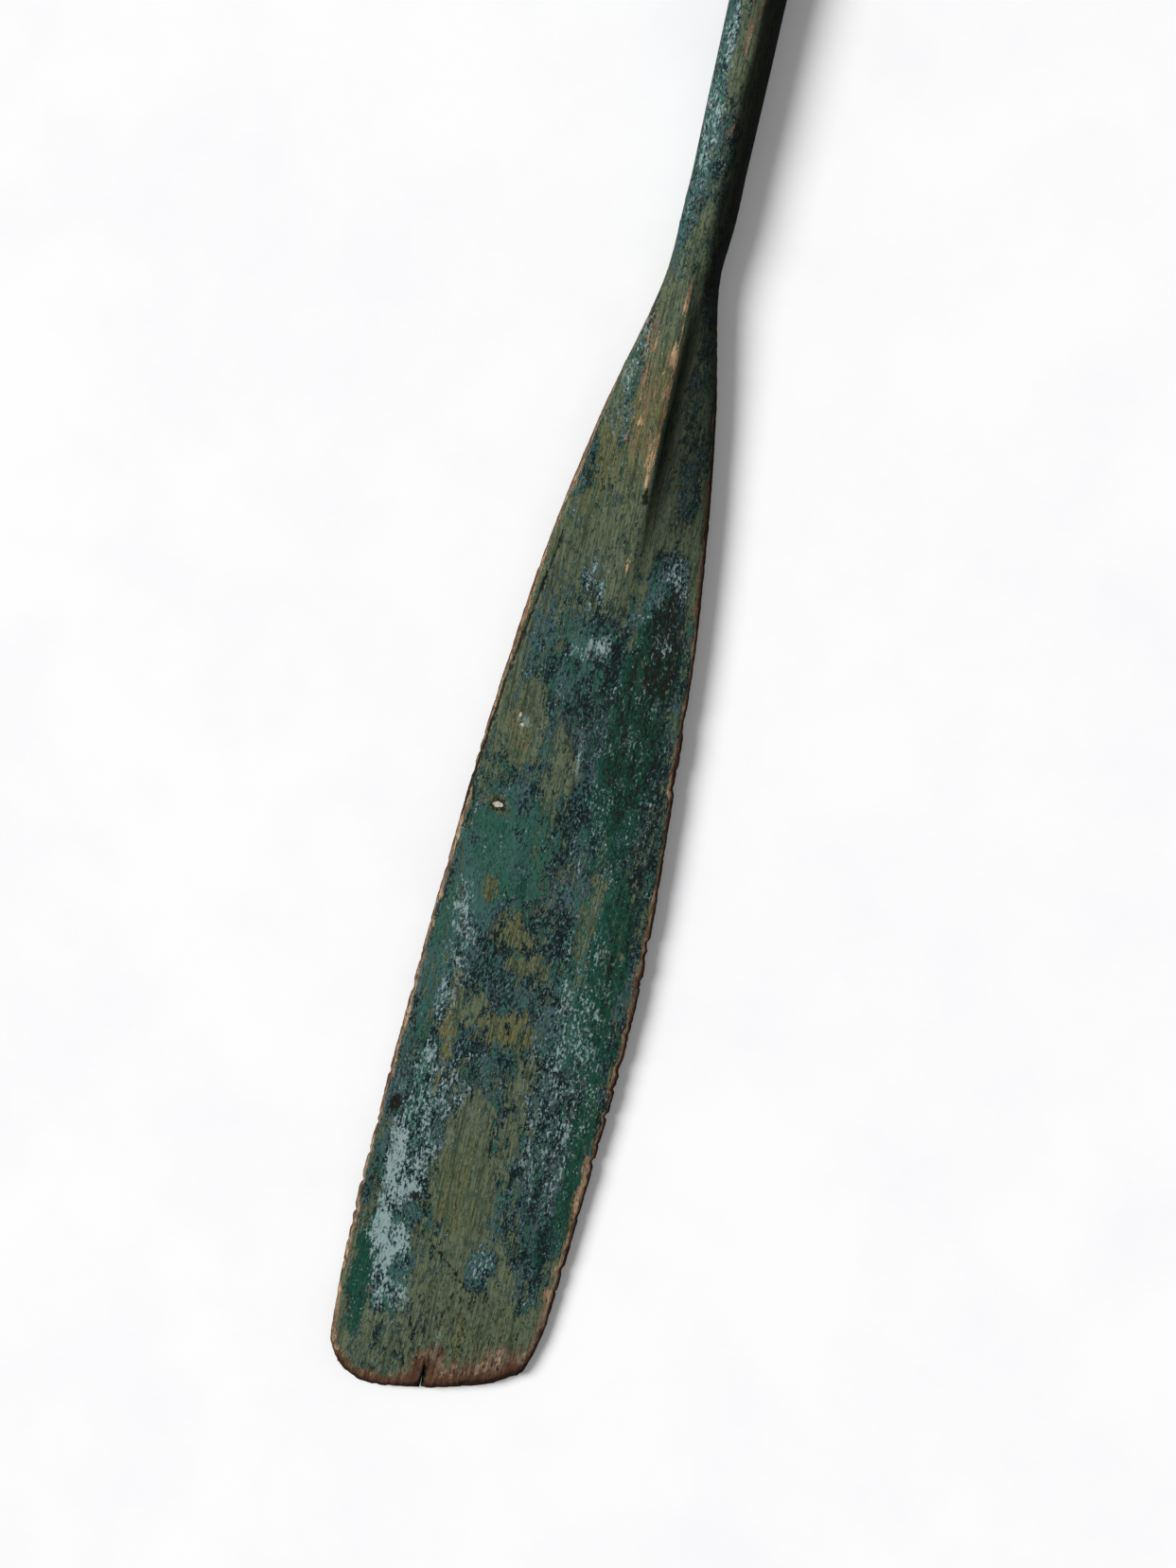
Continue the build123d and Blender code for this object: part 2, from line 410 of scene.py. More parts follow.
def paint_noises(s):
    """The noise fields that the wood and its coats share: streaks of grain, and specks to drifts."""
    return SimpleNamespace(
        grain=s.noise(2.4, stretch=24, detail=5, roughness=0.68, distortion=0.25, seed=1),
        fine_grain=s.noise(0.75, stretch=26, detail=3, roughness=0.7, seed=2),
        speckle=s.noise(1.5, stretch=2.0, detail=4, roughness=0.70, seed=3),
        ragged=s.noise(4.6, stretch=2.4, detail=7, roughness=0.76, distortion=0.3, seed=4),
        flakes=s.noise(5.2, stretch=1.9, detail=7, roughness=0.72, distortion=0.3, seed=5),
        specks=s.noise(1.5, stretch=1.7, detail=4, roughness=0.70, seed=6),
        drifts=s.noise(8, stretch=2.0, detail=6, roughness=0.7, seed=7),
        pits=s.noise(1.15, stretch=2.4, detail=3, roughness=0.65, seed=14),
        crumbs=s.noise(1.2, stretch=1.9, detail=3, roughness=0.65, seed=15),
        shade=s.noise(15, stretch=2.2, detail=6, roughness=0.65, seed=9),
    )


def wood_colour(s, n):
    """Bare wood: golden where fresh, brown and grey where old, dark in the grain and red-brown at rims."""
    age = s.noise(5, stretch=2.4, detail=6, roughness=0.75, seed=11)
    greyness = s.noise(6, stretch=4, detail=4, seed=12)
    old = s.blend(s.step(greyness, 0.42, 0.60), BROWN_WOOD, GREY_WOOD)
    aged = s.add(age, s.attribute("rust"), s.centred(n.speckle, 0.9))
    wood = s.blend(s.step(aged, 0.34, 0.46), GOLD_WOOD, TAN_WOOD)
    wood = s.blend(s.step(aged, 0.47, 0.58), wood, old)
    wood = s.blend(s.times(s.step(n.grain, 0.50, 0.62), 0.7), wood, BROWN_WOOD)
    wood = s.blend(s.times(s.step(n.fine_grain, 0.52, 0.64), 0.7), wood, DARK_WOOD)
    broken = s.noise(2.6, stretch=4, detail=5, roughness=0.7, seed=13)
    rim = s.add(s.attribute("rim"), s.times(broken, 1.3))
    wood = s.blend(s.times(s.step(rim, 0.84, 0.98), 0.85), wood, RIM_WOOD)
    return s.blend(s.times(s.step(rim, 1.05, 1.35), 0.92), wood, DARK_WOOD)


def olive_colour(s, n):
    """The old olive coat, thin and streaked by the grain, ochre in places and stained green in others."""
    yellow = s.add(n.grain, s.times(n.shade, 0.6), s.times(s.attribute("ochre"), 0.35))
    olive = s.blend(s.step(yellow, 0.84, 1.10), OLIVE_COAT, OCHRE_COAT)
    olive = s.blend(s.times(s.step(n.fine_grain, 0.47, 0.62), 0.70), olive, OLIVE_SHADE)
    olive = s.blend(s.times(s.step(n.grain, 0.50, 0.34), 0.65), olive, OLIVE_SHADE)
    olive = s.blend(s.times(s.step(n.speckle, 0.50, 0.62), 0.60), olive, OLIVE_SHADE)
    olive = s.blend(s.times(s.step(n.ragged, 0.50, 0.60), 0.60), olive, GREEN_STAIN)
    return s.blend(s.times(s.step(n.crumbs, 0.60, 0.68), 0.35), olive, PALE_SLATE)


def top_colour(s, n, teal):
    """The top coats: mottled slate and navy, and smooth teal to emerald paint where teal is 1."""
    mottling = s.add(s.times(n.speckle, 0.7), s.times(n.crumbs, 0.5))
    dark_share = s.add(mottling, s.centred(n.shade, 0.9), -0.1)
    slate = s.blend(s.step(dark_share, 0.565, 0.49), SLATE_COAT, NAVY_COAT)
    hue = s.noise(20, stretch=2.4, detail=5, roughness=0.65, seed=8)
    paint = s.blend(s.step(hue, 0.44, 0.56), TEAL_PAINT, TEAL_BLUE_PAINT)
    emerald = s.add(hue, s.times(s.attribute("emerald"), 0.8))
    paint = s.blend(s.step(emerald, 0.72, 0.92), paint, EMERALD_PAINT)
    paint = s.blend(s.times(s.step(n.speckle, 0.56, 0.68), 0.50), paint, SLATE_COAT)
    top = s.blend(teal, slate, paint)
    top = s.blend(s.times(s.step(n.crumbs, 0.57, 0.66), s.level(teal, 0.60, 0.22)), top, PALE_SLATE)
    top = s.blend(s.times(s.step(n.fine_grain, 0.52, 0.66), 0.50), top, NAVY_COAT)
    return s.blend(s.times(s.step(n.pits, 0.47, 0.40), s.level(teal, 0.85, 0.60)), top, NAVY_COAT)


def paint_height(s, n, bare, coated, teal, chalky):
    """Relief in millimetres: raised grain, strongest in bare wood, and the thickness of the coats."""
    height = s.times(n.grain, s.level(bare, 0.16, 0.55))
    height = s.add(height, s.times(n.fine_grain, s.level(bare, 0.16, 0.22)))
    height = s.add(height, s.times(coated, 0.09), s.times(coated, teal, 0.11))
    height = s.add(height, s.times(coated, s.inverse(teal), n.speckle, 0.24), s.times(n.pits, 0.06))
    return s.add(height, s.times(bare, -0.12), s.times(chalky, 0.03))


def painted_wood_material():
    """Old olive coat on bare wood, under mottled slate and navy, smooth teal flakes and chalky specks.

    Each coat is left where its attribute on the skin, from 0 to 1, and noise together pass a limit:
    at 0.5 about half of the coat is left, in ragged islands.
    """
    s = Shader("weathered_oar_paint")
    n = paint_noises(s)

    def kept(attribute, *fields):
        """Above 0 where a coat is left, from its attribute and noise fields given as (noise, weight)."""
        total = s.centred(s.attribute(attribute), 0.46)
        for field, weight in fields:
            total = s.add(total, s.centred(field, weight))
        return total

    def left(attribute, *fields):
        """1 where a coat is left and 0 elsewhere."""
        return s.step(kept(attribute, *fields), -0.008, 0.010)

    bare = left("bare", (n.grain, 0.75), (n.ragged, 0.55), (n.speckle, 0.45))
    cover = left("cover", (n.ragged, 1.0), (n.speckle, 0.65), (n.grain, 0.35))
    teal = left("teal", (n.flakes, 1.0), (n.specks, 0.75))
    coated = s.times(cover, s.inverse(bare))
    chalk_depth = kept("chalk", (n.specks, 1.15), (n.drifts, 0.95), (n.fine_grain, 0.45), (n.crumbs, 0.5))
    exposed = s.times(s.level(cover, 0.45, 1.0), s.inverse(bare))
    chalky = s.times(s.step(chalk_depth, -0.030, 0.012), exposed)
    chalk = s.blend(s.step(chalk_depth, 0.0, 0.10), THIN_CHALK, CHALK)
    blots = s.add(s.centred(n.speckle, 1.2), s.centred(n.ragged, 1.0))
    # the dirt attribute also carries painted shade on the blade's +Y half and painted shadow in the groove
    grime_and_shade = s.step(s.add(s.attribute("dirt"), blots, s.centred(n.grain, 0.5)), 0.34, 0.66)
    chipped = s.step(s.add(s.attribute("chip"), s.times(n.speckle, 0.5)), 0.70, 0.78)

    color = s.blend(bare, olive_colour(s, n), wood_colour(s, n))
    color = s.blend(coated, color, top_colour(s, n, teal))
    color = s.blend(s.times(chalky, 0.9), color, chalk)
    color = s.blend(s.times(grime_and_shade, 0.94), color, GRIME)
    color = s.blend(chipped, color, PALE_WOOD)
    # painted shade and shadow on the +Y flank, nearly black
    color = s.blend(s.times(s.attribute("shade"), 0.94), color, PAINTED_SHADE)

    roughness = s.level(bare, 0.60, 0.82)
    roughness = s.level(s.times(coated, teal), roughness, 0.42)
    roughness = s.level(chalky, roughness, 0.85)
    height = paint_height(s, n, bare, coated, teal, chalky)
    return s.finish(color, roughness, height, relief=1.0, Specular_IOR_Level=0.06)


def leather_material(name, light, dark):
    """Oiled leather: pebbled grain, scuffs that show paler, dark grease in the hollows."""
    s = Shader(name)
    pebbles = s.cells(1.1, seed=1)
    creases = s.cells(3.6, stretch=0.7, feature="DISTANCE_TO_EDGE", seed=2)
    stain = s.noise(22, detail=5, seed=3)
    scuffs = s.noise(3, stretch=0.35, detail=6, roughness=0.7, seed=4)
    color = s.blend(s.step(stain, 0.35, 0.65), dark, light)
    scuffed = tuple(min(1, channel * 2.2 + 0.02) for channel in light)
    rubbed = s.add(scuffs, s.times(s.attribute("wear"), 0.35))
    color = s.blend(s.times(s.step(rubbed, 0.66, 0.80), 0.5), color, scuffed)
    color = s.blend(s.times(s.step(creases, 0.06, 0.0), 0.4), color, DARK_WOOD)
    color = s.blend(s.times(s.attribute("dirt"), 0.85), color, GRIME)
    roughness = s.level(s.attribute("wear"), 0.62, 0.38)
    height = s.add(s.times(pebbles, -0.09), s.times(s.step(creases, 0.0, 0.10), 0.10), s.times(scuffs, 0.12))
    return s.finish(color, roughness, height, relief=0.8, Specular_IOR_Level=0.4)


def twine_material():
    """Waxed flax, pale on the crowns of its strands and grimy between them."""
    s = Shader("waxed_twine")
    fibres = s.noise(0.35, detail=3, seed=1)
    stain = s.noise(12, detail=3, seed=2)
    color = s.blend(s.step(stain, 0.35, 0.7), FLAX, OLD_FLAX)
    color = s.blend(s.times(s.step(fibres, 0.5, 0.7), 0.5), color, FLAX_FIBRE)
    color = s.blend(s.times(s.attribute("dirt"), 0.8), color, TWINE_GRIME)
    return s.finish(color, 0.6, s.times(fibres, 0.10), relief=0.8)


def copper_material():
    """Old copper: brown tarnish, bright where it is rubbed, a little verdigris round the rims."""
    s = Shader("tarnished_copper")
    patches = s.noise(1.6, detail=5, seed=1)
    color = s.blend(s.step(patches, 0.40, 0.62), COPPER, TARNISH)
    green = s.times(s.attribute("dirt"), s.step(s.noise(1.1, seed=2), 0.40, 0.60))
    color = s.blend(s.times(green, 0.8), color, VERDIGRIS)
    roughness = s.level(s.step(patches, 0.40, 0.62), 0.32, 0.62)
    metallic = s.inverse(s.times(green, 0.8))
    return s.finish(color, roughness, s.times(s.noise(0.9, seed=3), 0.10), relief=0.7, Metallic=metallic)


# ---------------------------------------------------------------- the shape of the wood

stock = node_surface("oar_stock")
stock_points = node_vertices("oar_stock")
GRIP_END_X = stock_points[:, 0].min()
TIP_X = stock_points[:, 0].max()
CLEAR = 300  # rays start this far from the oar


def turned_profile():
    """Positions and radii of the turned grip and loom, read from the CAD model's rings of vertices."""
    turned = stock_points[stock_points[:, 0] < LOOM_END + 1]
    radii = np.hypot(turned[:, 1], turned[:, 2])
    rings = {}
    for x, radius in zip(turned[:, 0].round(1), radii):
        rings[x] = max(rings.get(x, 0), radius)
    smallest = 8  # below this they are the bottoms of nail holes or the middle of the end face
    return zip(*sorted((x, radius) for x, radius in rings.items() if radius > smallest))


turned_x, turned_radius = turned_profile()
THROAT_RADIUS = turned_radius[-1]


def side_at(x, side):
    """Distance from the loom axis to the blade's outline on one side, -1 for -Y and 1 for +Y."""
    return abs(hit(stock, (x, side * CLEAR, 0), (0, -side, 0)).y)


def top_at(x, y):
    """Height of the blade's upper face."""
    return hit(stock, (x, y, CLEAR), (0, 0, -1)).z


def measure_blade():
    """Smooth functions of x for the blade's two half widths and its ridge, face and edge half thickness."""
    start = float(LOOM_END)
    width_x = np.arange(start + STATION_STEP, TIP_X - TIP_ZONE + 1, STATION_STEP)
    near = [side_at(x, -1) for x in width_x]
    far = [side_at(x, 1) for x in width_x]
    ridge = [top_at(x, RIDGE_Y) for x in width_x]
    face_x = width_x[width_x >= BLADE_MEASURED_FROM]
    edge = []
    face = []
    for x in face_x:
        reach = side_at(x, -1)
        edge.append(top_at(x, EDGE_INSET - reach))
        share = 0.6  # of the half width, clear of both the ridge and the edge
        face.append((top_at(x, -share * reach) - edge[-1] * share**2) / (1 - share**2))
    knots = [start, *width_x]
    face_knots = [start, *face_x]
    radius = THROAT_RADIUS
    return (
        natural_spline(knots, [radius, *near]),
        natural_spline(knots, [radius, *far]),
        natural_spline(knots, [radius, *ridge]),
        natural_spline(face_knots, [radius, *face]),
        natural_spline(face_knots, [radius, *edge]),
    )


near_width, far_width, ridge_height, face_height, edge_height = measure_blade()


def ridge_line(x):
    """The crest wanders a little from side to side."""
    return RIDGE_Y + 1.3 * np.sin(x / 47) + 0.7 * np.sin(x / 19 + 1)


def upper_height(x, y, inset):
    """Height of the oar's face above its middle plane, where inset is the distance to the outline."""
    across = np.clip(np.where(y < 0, -y / near_width(x), y / far_width(x)), 0, 1)
    ridge = ridge_height(x)
    edge = edge_height(x)
    face = np.maximum(face_height(x), edge)
    beside = y - ridge_line(x)
    width = np.where(beside < 0, RIDGE_NEAR_WIDTH, RIDGE_FAR_WIDTH)
    sharpness = np.where(beside < 0, 1.3, 2.0)
    hollow_along = (x - HOLLOW_X) / HOLLOW_HALF_LENGTH
    hollow_across = (beside - HOLLOW_FROM_CREST) / HOLLOW_HALF_WIDTH
    hollow = HOLLOW_DEPTH * np.exp(-(hollow_across**2) - hollow_along**2)
    crest = np.maximum(ridge - face, 0) * np.exp(-(np.abs(beside / width) ** sharpness))
    nose = quarter_round(inset / edge)
    blade = (edge + (face - edge) * (1 - across**2) + crest - hollow) * nose
    round_section = ridge * np.sqrt(1 - across**2)
    return mix(round_section, blade, smooth_step((x - LOOM_END) / THROAT_BLEND))


# Cracks that run into the blade's end along the grain: their place across, depth and half width
TIP_SPLITS = [(-18, 14, 0.55), (8, 2.5, 0.4)]
SPLIT_REACH = 4.5  # the skin's columns are drawn together this far on each side of a crack
SPLIT_DRAW = 0.55  # by this share of their distance from it, where they are close
SPLIT_ROUNDING = 1.4  # radius of a crack's upper edges


def split_depth(y):
    """How far the cracks cut the end back at y."""
    depth = np.zeros_like(y)
    for place, deep, half_width in TIP_SPLITS:
        depth = np.maximum(depth, deep * (1 - np.abs(y - place) / half_width))
    return depth


FAR_CORNER_WEAR = 7.5  # how much more the tip's corner on the +Y side is rubbed away
CORNERS_START = 1475  # from here to the tip the outline turns round its corners, rubbed smooth


def worn_side(x, side):
    """How far wear has eaten into the outline on one side, growing towards the tip."""
    seed = 3 + side
    towards_tip = smooth_step((x - 860) / 420)
    soft = 0.35 + 0.35 * ripple_along(x, 45, seed)
    nicks = np.maximum(ripple_along(x, 9, seed + 5, 4) - 0.12, 0) * 2.6
    nicks = nicks * smooth_step((CORNERS_START + 3 - x) / 20)
    more = 1.0 if side < 0 else 1.5
    rounded_off = FAR_CORNER_WEAR * np.clip((x - CORNERS_START) / 40, 0, 1) ** 2 if side > 0 else 0
    return towards_tip * more * (np.maximum(soft, 0) + nicks) + rounded_off


def corner(side):
    """The point of the rounded tip corner that lies farthest along the diagonal."""
    rim = stock_points[(stock_points[:, 0] > TIP_X - TIP_ZONE) & (np.abs(stock_points[:, 2]) < 2)]
    best = rim[np.argmax(rim[:, 0] + side * rim[:, 1])]
    return best[0], best[1]


def tip_end(y):
    """The x of the blade's end at each y, worn and nibbled."""
    plain = np.array([hit(stock, (TIP_X + CLEAR, value, 0), (-1, 0, 0)).x for value in y])
    plain[1:-1] = (plain[:-2] + plain[1:-1] + plain[2:]) / 3
    nibbles = np.maximum(ripple_along(y, 6, 21, 4), 0) * 0.9
    return plain - nibbles - 0.3 - 0.5 * FAR_CORNER_WEAR * smooth_step((y - 22) / 22)


def tip_side(x, side):
    """The y of the outline in the tip zone, worn like the rest of the side."""
    plain = np.array([side_at(value, side) for value in x])
    plain[2:-2] = (plain[:-4] + plain[1:-3] + plain[2:-2] + plain[3:-1] + plain[4:]) / 5
    return side * (plain - worn_side(x, side))


def column_shares(x, near, far, crowding):
    """Shares of the width at which one ring's columns stand: even steps round the face, closer at edges."""
    fine = (1 - np.cos(np.linspace(0, np.pi, 241))) / 2
    y = near + (far - near) * fine
    inset = np.minimum(y - near, far - y)
    z = upper_height(np.full_like(y, x), y, inset)
    closeness = 1 + crowding * np.exp(-(inset[1:] + inset[:-1]) / 2 / EDGE_CROWDING_REACH)
    walked = np.concatenate([[0], np.cumsum(np.hypot(np.diff(y), np.diff(z)) * closeness)])
    return np.interp(np.linspace(0, 1, COLUMNS + 1), walked / walked[-1], fine)


def ring_positions():
    """Where the rings stand along the loom and blade: closer where there is more to see."""
    stretches = [
        (GRIP_END_X + GRIP_ROUNDING, -400, 5),
        (-400, -195, 9),
        (-195, 150, 23),
        (150, 620, 9),
        (620, LOOM_END, 4),
        (LOOM_END, 830, 2.5),
        (830, TIP_X - TIP_ZONE, 1.8),
    ]
    rings = []
    for start, end, spacing in stretches:
        count = round((end - start) / spacing)
        rings.extend(np.linspace(start, end, count, endpoint=False))
    return rings


def plan_of_grip_end():
    """Rings that close the rounded end of the grip: their x and radius, from the middle outwards."""
    centre_x = GRIP_END_X + GRIP_ROUNDING
    flat_radius = np.interp(centre_x, turned_x, turned_radius) - GRIP_ROUNDING
    rings = [(GRIP_END_X, share * flat_radius) for share in (0.02, 0.3, 0.6, 0.85)]
    steps = 8
    for step in range(steps):
        angle = step / steps * np.pi / 2
        rings.append((centre_x - GRIP_ROUNDING * np.cos(angle), flat_radius + GRIP_ROUNDING * np.sin(angle)))
    return rings


def plan_of_loom():
    """Plan positions and heights of the rings of the grip and loom."""
    rows = []
    half_turn = np.linspace(0, np.pi, COLUMNS + 1)
    loom_rings = [x for x in ring_positions() if x < LOOM_END - 0.1]
    circles = plan_of_grip_end() + [(x, np.interp(x, turned_x, turned_radius)) for x in loom_rings]
    for x, radius in circles:
        y, z = -radius * np.cos(half_turn), radius * np.sin(half_turn)
        rows.append(np.stack([np.full(COLUMNS + 1, x), y, z], -1))
    return rows


def plan_of_blade():
    """Plan positions of the rings from the throat to where the tip zone starts."""
    xs = np.array([x for x in ring_positions() if x >= LOOM_END - 0.1])
    near = -(near_width(xs) - worn_side(xs, -1))
    far = far_width(xs) - worn_side(xs, 1)
    rows = []
    for x, low, high in zip(xs, near, far):
        shares = column_shares(x, low, high, EDGE_CROWDING * smooth_step((x - LOOM_END) / 160))
        rows.append(np.stack([np.full(COLUMNS + 1, x), low + (high - low) * shares], -1))
    return rows


TIP_RINGS = 80  # in the tip zone


def plan_of_tip():
    """Plan positions of the last rings, which turn from straight across to the shape of the end.

    A Coons patch between the last straight ring, the two sides up to the middle of the rounded
    corners, and the end. Columns are drawn together at the cracks so that their walls are sharp.
    """
    start_x = TIP_X - TIP_ZONE
    near_corner, far_corner = corner(-1), corner(1)
    progress = 1 - (1 - np.linspace(0, 1, TIP_RINGS + 1)) ** 1.5
    near_x = start_x + (near_corner[0] - start_x) * progress
    far_x = start_x + (far_corner[0] - start_x) * progress
    near_y, far_y = tip_side(near_x, -1), tip_side(far_x, 1)

    shares = column_shares(start_x, near_y[0], far_y[0], EDGE_CROWDING)
    end_y = near_y[-1] + (far_y[-1] - near_y[-1]) * shares
    for place, _, half_width in TIP_SPLITS:
        beside = end_y - place
        end_y = place + beside * (1 - SPLIT_DRAW * np.exp(-((beside / SPLIT_REACH) ** 2)))
        middle = np.argmin(np.abs(end_y - place))
        end_y[middle - 1 : middle + 2] = place - half_width, place, place + half_width
    end_x = tip_end(end_y)
    end_x[0], end_x[-1] = near_x[-1], far_x[-1]

    t = progress[:, None]
    v = shares[None, :]
    near_side = np.stack([near_x, near_y], -1)[:, None, :]
    far_side = np.stack([far_x, far_y], -1)[:, None, :]
    start = np.stack([np.full_like(shares, start_x), near_y[0] + (far_y[0] - near_y[0]) * shares], -1)[None]
    end = np.stack([end_x, end_y], -1)[None]
    t, v = t[..., None], v[..., None]
    corners = mix(mix(near_side[:1], far_side[:1], v), mix(near_side[-1:], far_side[-1:], v), t)
    grid = mix(near_side, far_side, v) + mix(start, end, t) - corners
    grid[..., 0] -= split_depth(end_y)[None, :].clip(0) * progress[:, None] ** 5
    return list(grid)


def distance_to_path(points, path):
    """Distance in plan from each point to a line through the path's points."""
    best = np.full(len(points), 1e9)
    starts, steps = path[:-1], np.diff(path, axis=0)
    for start, step in zip(starts, steps):
        offset = points - start
        share = np.clip(offset @ step / max(step @ step, 1e-9), 0, 1)
        best = np.minimum(best, np.linalg.norm(offset - share[:, None] * step, axis=1))
    return best


def outline_insets(rows):
    """Distance in plan from every vertex of the blade and tip to the worn outline."""
    grid = np.array(rows)
    inset = np.zeros(grid.shape[:2])
    window = 14  # rings on each side that can hold the nearest stretch of a long edge
    end_reach = 45  # only vertices this near the tip can have the end as their nearest outline
    end_path = grid[-1].copy()
    end_path[:, 0] += split_depth(end_path[:, 1]).clip(0)
    for ring in range(len(grid)):
        low, high = max(0, ring - window), min(len(grid), ring + window + 1)
        near = distance_to_path(grid[ring], grid[low:high, 0])
        far = distance_to_path(grid[ring], grid[low:high, -1])
        inset[ring] = np.minimum(near, far)
        if grid[ring, :, 0].max() > TIP_X - end_reach:
            inset[ring] = np.minimum(inset[ring], distance_to_path(grid[ring], end_path))
    return inset


def crack_pinch(plan):
    """0 on the walls of the tip's cracks and 1 a little away from them."""
    pinch = np.ones(len(plan))
    for place, deep, half_width in TIP_SPLITS:
        mouth_x = tip_end(np.array([place - half_width, place, place + half_width]))
        wall = np.array(
            [
                (mouth_x[0], place - half_width),
                (mouth_x[1] - deep, place),
                (mouth_x[2], place + half_width),
            ]
        )
        pinch = np.minimum(pinch, quarter_round(distance_to_path(plan, wall) / SPLIT_ROUNDING))
    return pinch


# Knots: place along and across, half length, half width and depth of each
KNOTS = [(1158, -50, 5, 4, 0.9), (1356, -72, 6.5, 4.5, 0.8), (1411, -48, 4, 3.5, 0.7)]
# A shallow groove beside the -Y edge, from one end to the other
EDGE_GROOVE = np.array([(979.0, -46.5), (1075.0, -61.5), (1169.0, -71.5)])


def carved_relief(plan):
    """Height changes on the upper face: knots with a dip and a soft ring, and the edge groove."""
    relief = -0.55 * np.exp(-((distance_to_path(plan, EDGE_GROOVE) / 1.5) ** 2))
    for x, y, half_length, half_width, depth in KNOTS:
        reach = np.hypot((plan[:, 0] - x) / half_length, (plan[:, 1] - y) / half_width)
        relief += -depth * np.exp(-(reach**2)) + 0.35 * np.exp(-(((reach - 1.7) / 0.5) ** 2))
    return relief


# ---------------------------------------------------------------- where the paint has worn

# Worn and painted patches on the blade's face. Each is its place along and across, half length,
# half width and how much of its coat is left in the middle, from 0 to 1.
BARE_PATCHES = [
    (640, 3, 34, 6, 0.42),
    (648, 0, 24, 1.8, 0.56),
    (712, 0, 12, 4, 0.40),
    (825, -2, 20, 2.4, 0.56),
    (880, -0.8, 64, 1.3, 0.66),
    (858, -3, 10, 2.4, 0.60),
    (926, -3.2, 20, 2.6, 0.63),
    (992, -3, 11, 2.2, 0.62),
    (880, -6, 70, 5, 0.31),
    (870, -16, 80, 11, 0.37),
    (1300, -52, 12, 3.0, 0.36),
]
# Chips down to pale wood
CHIP_PATCHES = [
    (1158, -50, 2.6, 5.0, 0.56),
    (1158.5, -49, 1.4, 2.4, 0.85),
    (1099, -49, 3.6, 0.9, 0.9),
    (1105, -45, 1.2, 1.6, 0.9),
    (1112, -32, 6.5, 0.9, 0.55),
]
COVER_PATCHES = [
    (880, 17, 70, 6, 0.56),
    (930, 26, 40, 8, 0.60),
    (800, 12, 50, 5, 0.62),
    (700, -14, 120, 8, 0.74),
    (860, -24, 70, 7, 0.62),
    (930, -44, 40, 9, 0.55),
    (960, -18, 70, 30, 0.30),
    (1008, -20, 18, 12, 0.60),
    (1020, 26, 48, 15, 1.00),
    (1065, -10, 46, 26, 0.85),
    (1120, 17, 90, 36, 0.86),
    (1190, -43, 56, 26, 0.98),
    (1270, -28, 90, 44, 0.74),
    (1270, 32, 120, 34, 0.76),
    (1380, 34, 90, 20, 0.80),
    (1360, -56, 66, 14, 0.85),
    (1430, -56, 62, 13, 0.92),
    (1446, 2, 18, 11, 0.85),
    (1462, -46, 26, 8, 0.62),
    (1466, -69, 44, 8, 0.78),
    (1428, -53, 6, 6, 0.95),
    (1500, -43, 40, 30, 0.40),
]
OLIVE_PATCHES = [
    (1045, -60, 90, 6, 0.55),
    (1105, -44, 26, 12, 0.55),
    (1158, -50, 6, 7, 0.80),
    (1130, -18, 28, 8, 0.38),
    (1135, -6, 14, 5, 0.35),
    (1211, -43, 9, 7, 0.60),
    (1234, -22, 10, 15, 0.40),
    (1255, -10, 9, 14, 0.42),
    (1308, -49, 45, 3.0, 0.45),
    (1285, -38, 14, 8, 0.50),
    (1297, -14, 11, 20, 0.48),
    (1215, 22, 50, 5, 0.38),
    (1375, -22, 28, 13, 0.66),
    (1410, -12, 30, 14, 0.70),
    (1398, -30, 26, 9, 0.56),
    (1350, 4, 40, 7, 0.35),
]
OCHRE_PATCHES = [
    (1105, -44, 22, 10, 0.35),
    (1211, -43, 9, 7, 0.9),
    (1234, -22, 12, 15, 0.65),
    (1255, -10, 10, 14, 0.65),
    (1308, -49, 45, 4, 1.0),
    (1297, -14, 13, 22, 0.70),
    (1400, -20, 40, 16, 0.4),
    (900, -10, 60, 9, 0.6),
    (930, -32, 30, 12, 0.6),
    (1510, 12, 30, 40, 0.2),
]
TEAL_PATCHES = [
    (700, -15, 130, 9, 0.54),
    (870, -28, 60, 9, 0.60),
    (1052, -16, 16, 9, 0.76),
    (1060, -28, 40, 26, 0.52),
    (1190, -46, 44, 15, 0.98),
    (1185, -23, 50, 18, 0.66),
    (1100, 24, 110, 20, 0.74),
    (1250, 34, 80, 22, 0.74),
    (1255, -64, 90, 7, 0.80),
    (1370, 48, 70, 8, 0.85),
    (1340, -58, 40, 14, 0.52),
    (1470, -46, 34, 10, 0.55),
    (1462, -70, 50, 8, 0.80),
    (1428, -53, 5, 5, 0.95),
]
CHALK_PATCHES = [
    (690, -12, 70, 7, 0.37),
    (860, -28, 60, 6, 0.40),
    (1005, -18, 16, 10, 0.36),
    (1015, 28, 36, 9, 0.36),
    (1050, -10, 8, 14, 0.46),
    (1120, 24, 110, 20, 0.16),
    (1115, -7, 18, 1.2, 0.62),
    (1100, -47, 6, 3.0, 0.74),
    (1110, -34, 8, 2.0, 0.50),
    (1258, -56, 50, 9, 0.44),
    (1350, -48, 44, 22, 0.38),
    (1320, 28, 90, 22, 0.32),
    (1388, -64, 26, 9, 0.76),
    (1404, -57, 14, 9, 0.72),
    (1414, -66, 16, 5, 0.72),
    (1436, -62, 20, 8, 0.78),
    (1458, -57, 26, 7, 0.70),
    (1438, -47, 12, 6, 0.60),
    (1385, -47, 24, 8, 0.52),
    (1478, -46, 20, 10, 0.42),
    (1446, 4, 14, 9, 0.34),
    (1495, -13, 8, 1.0, 0.85),
]
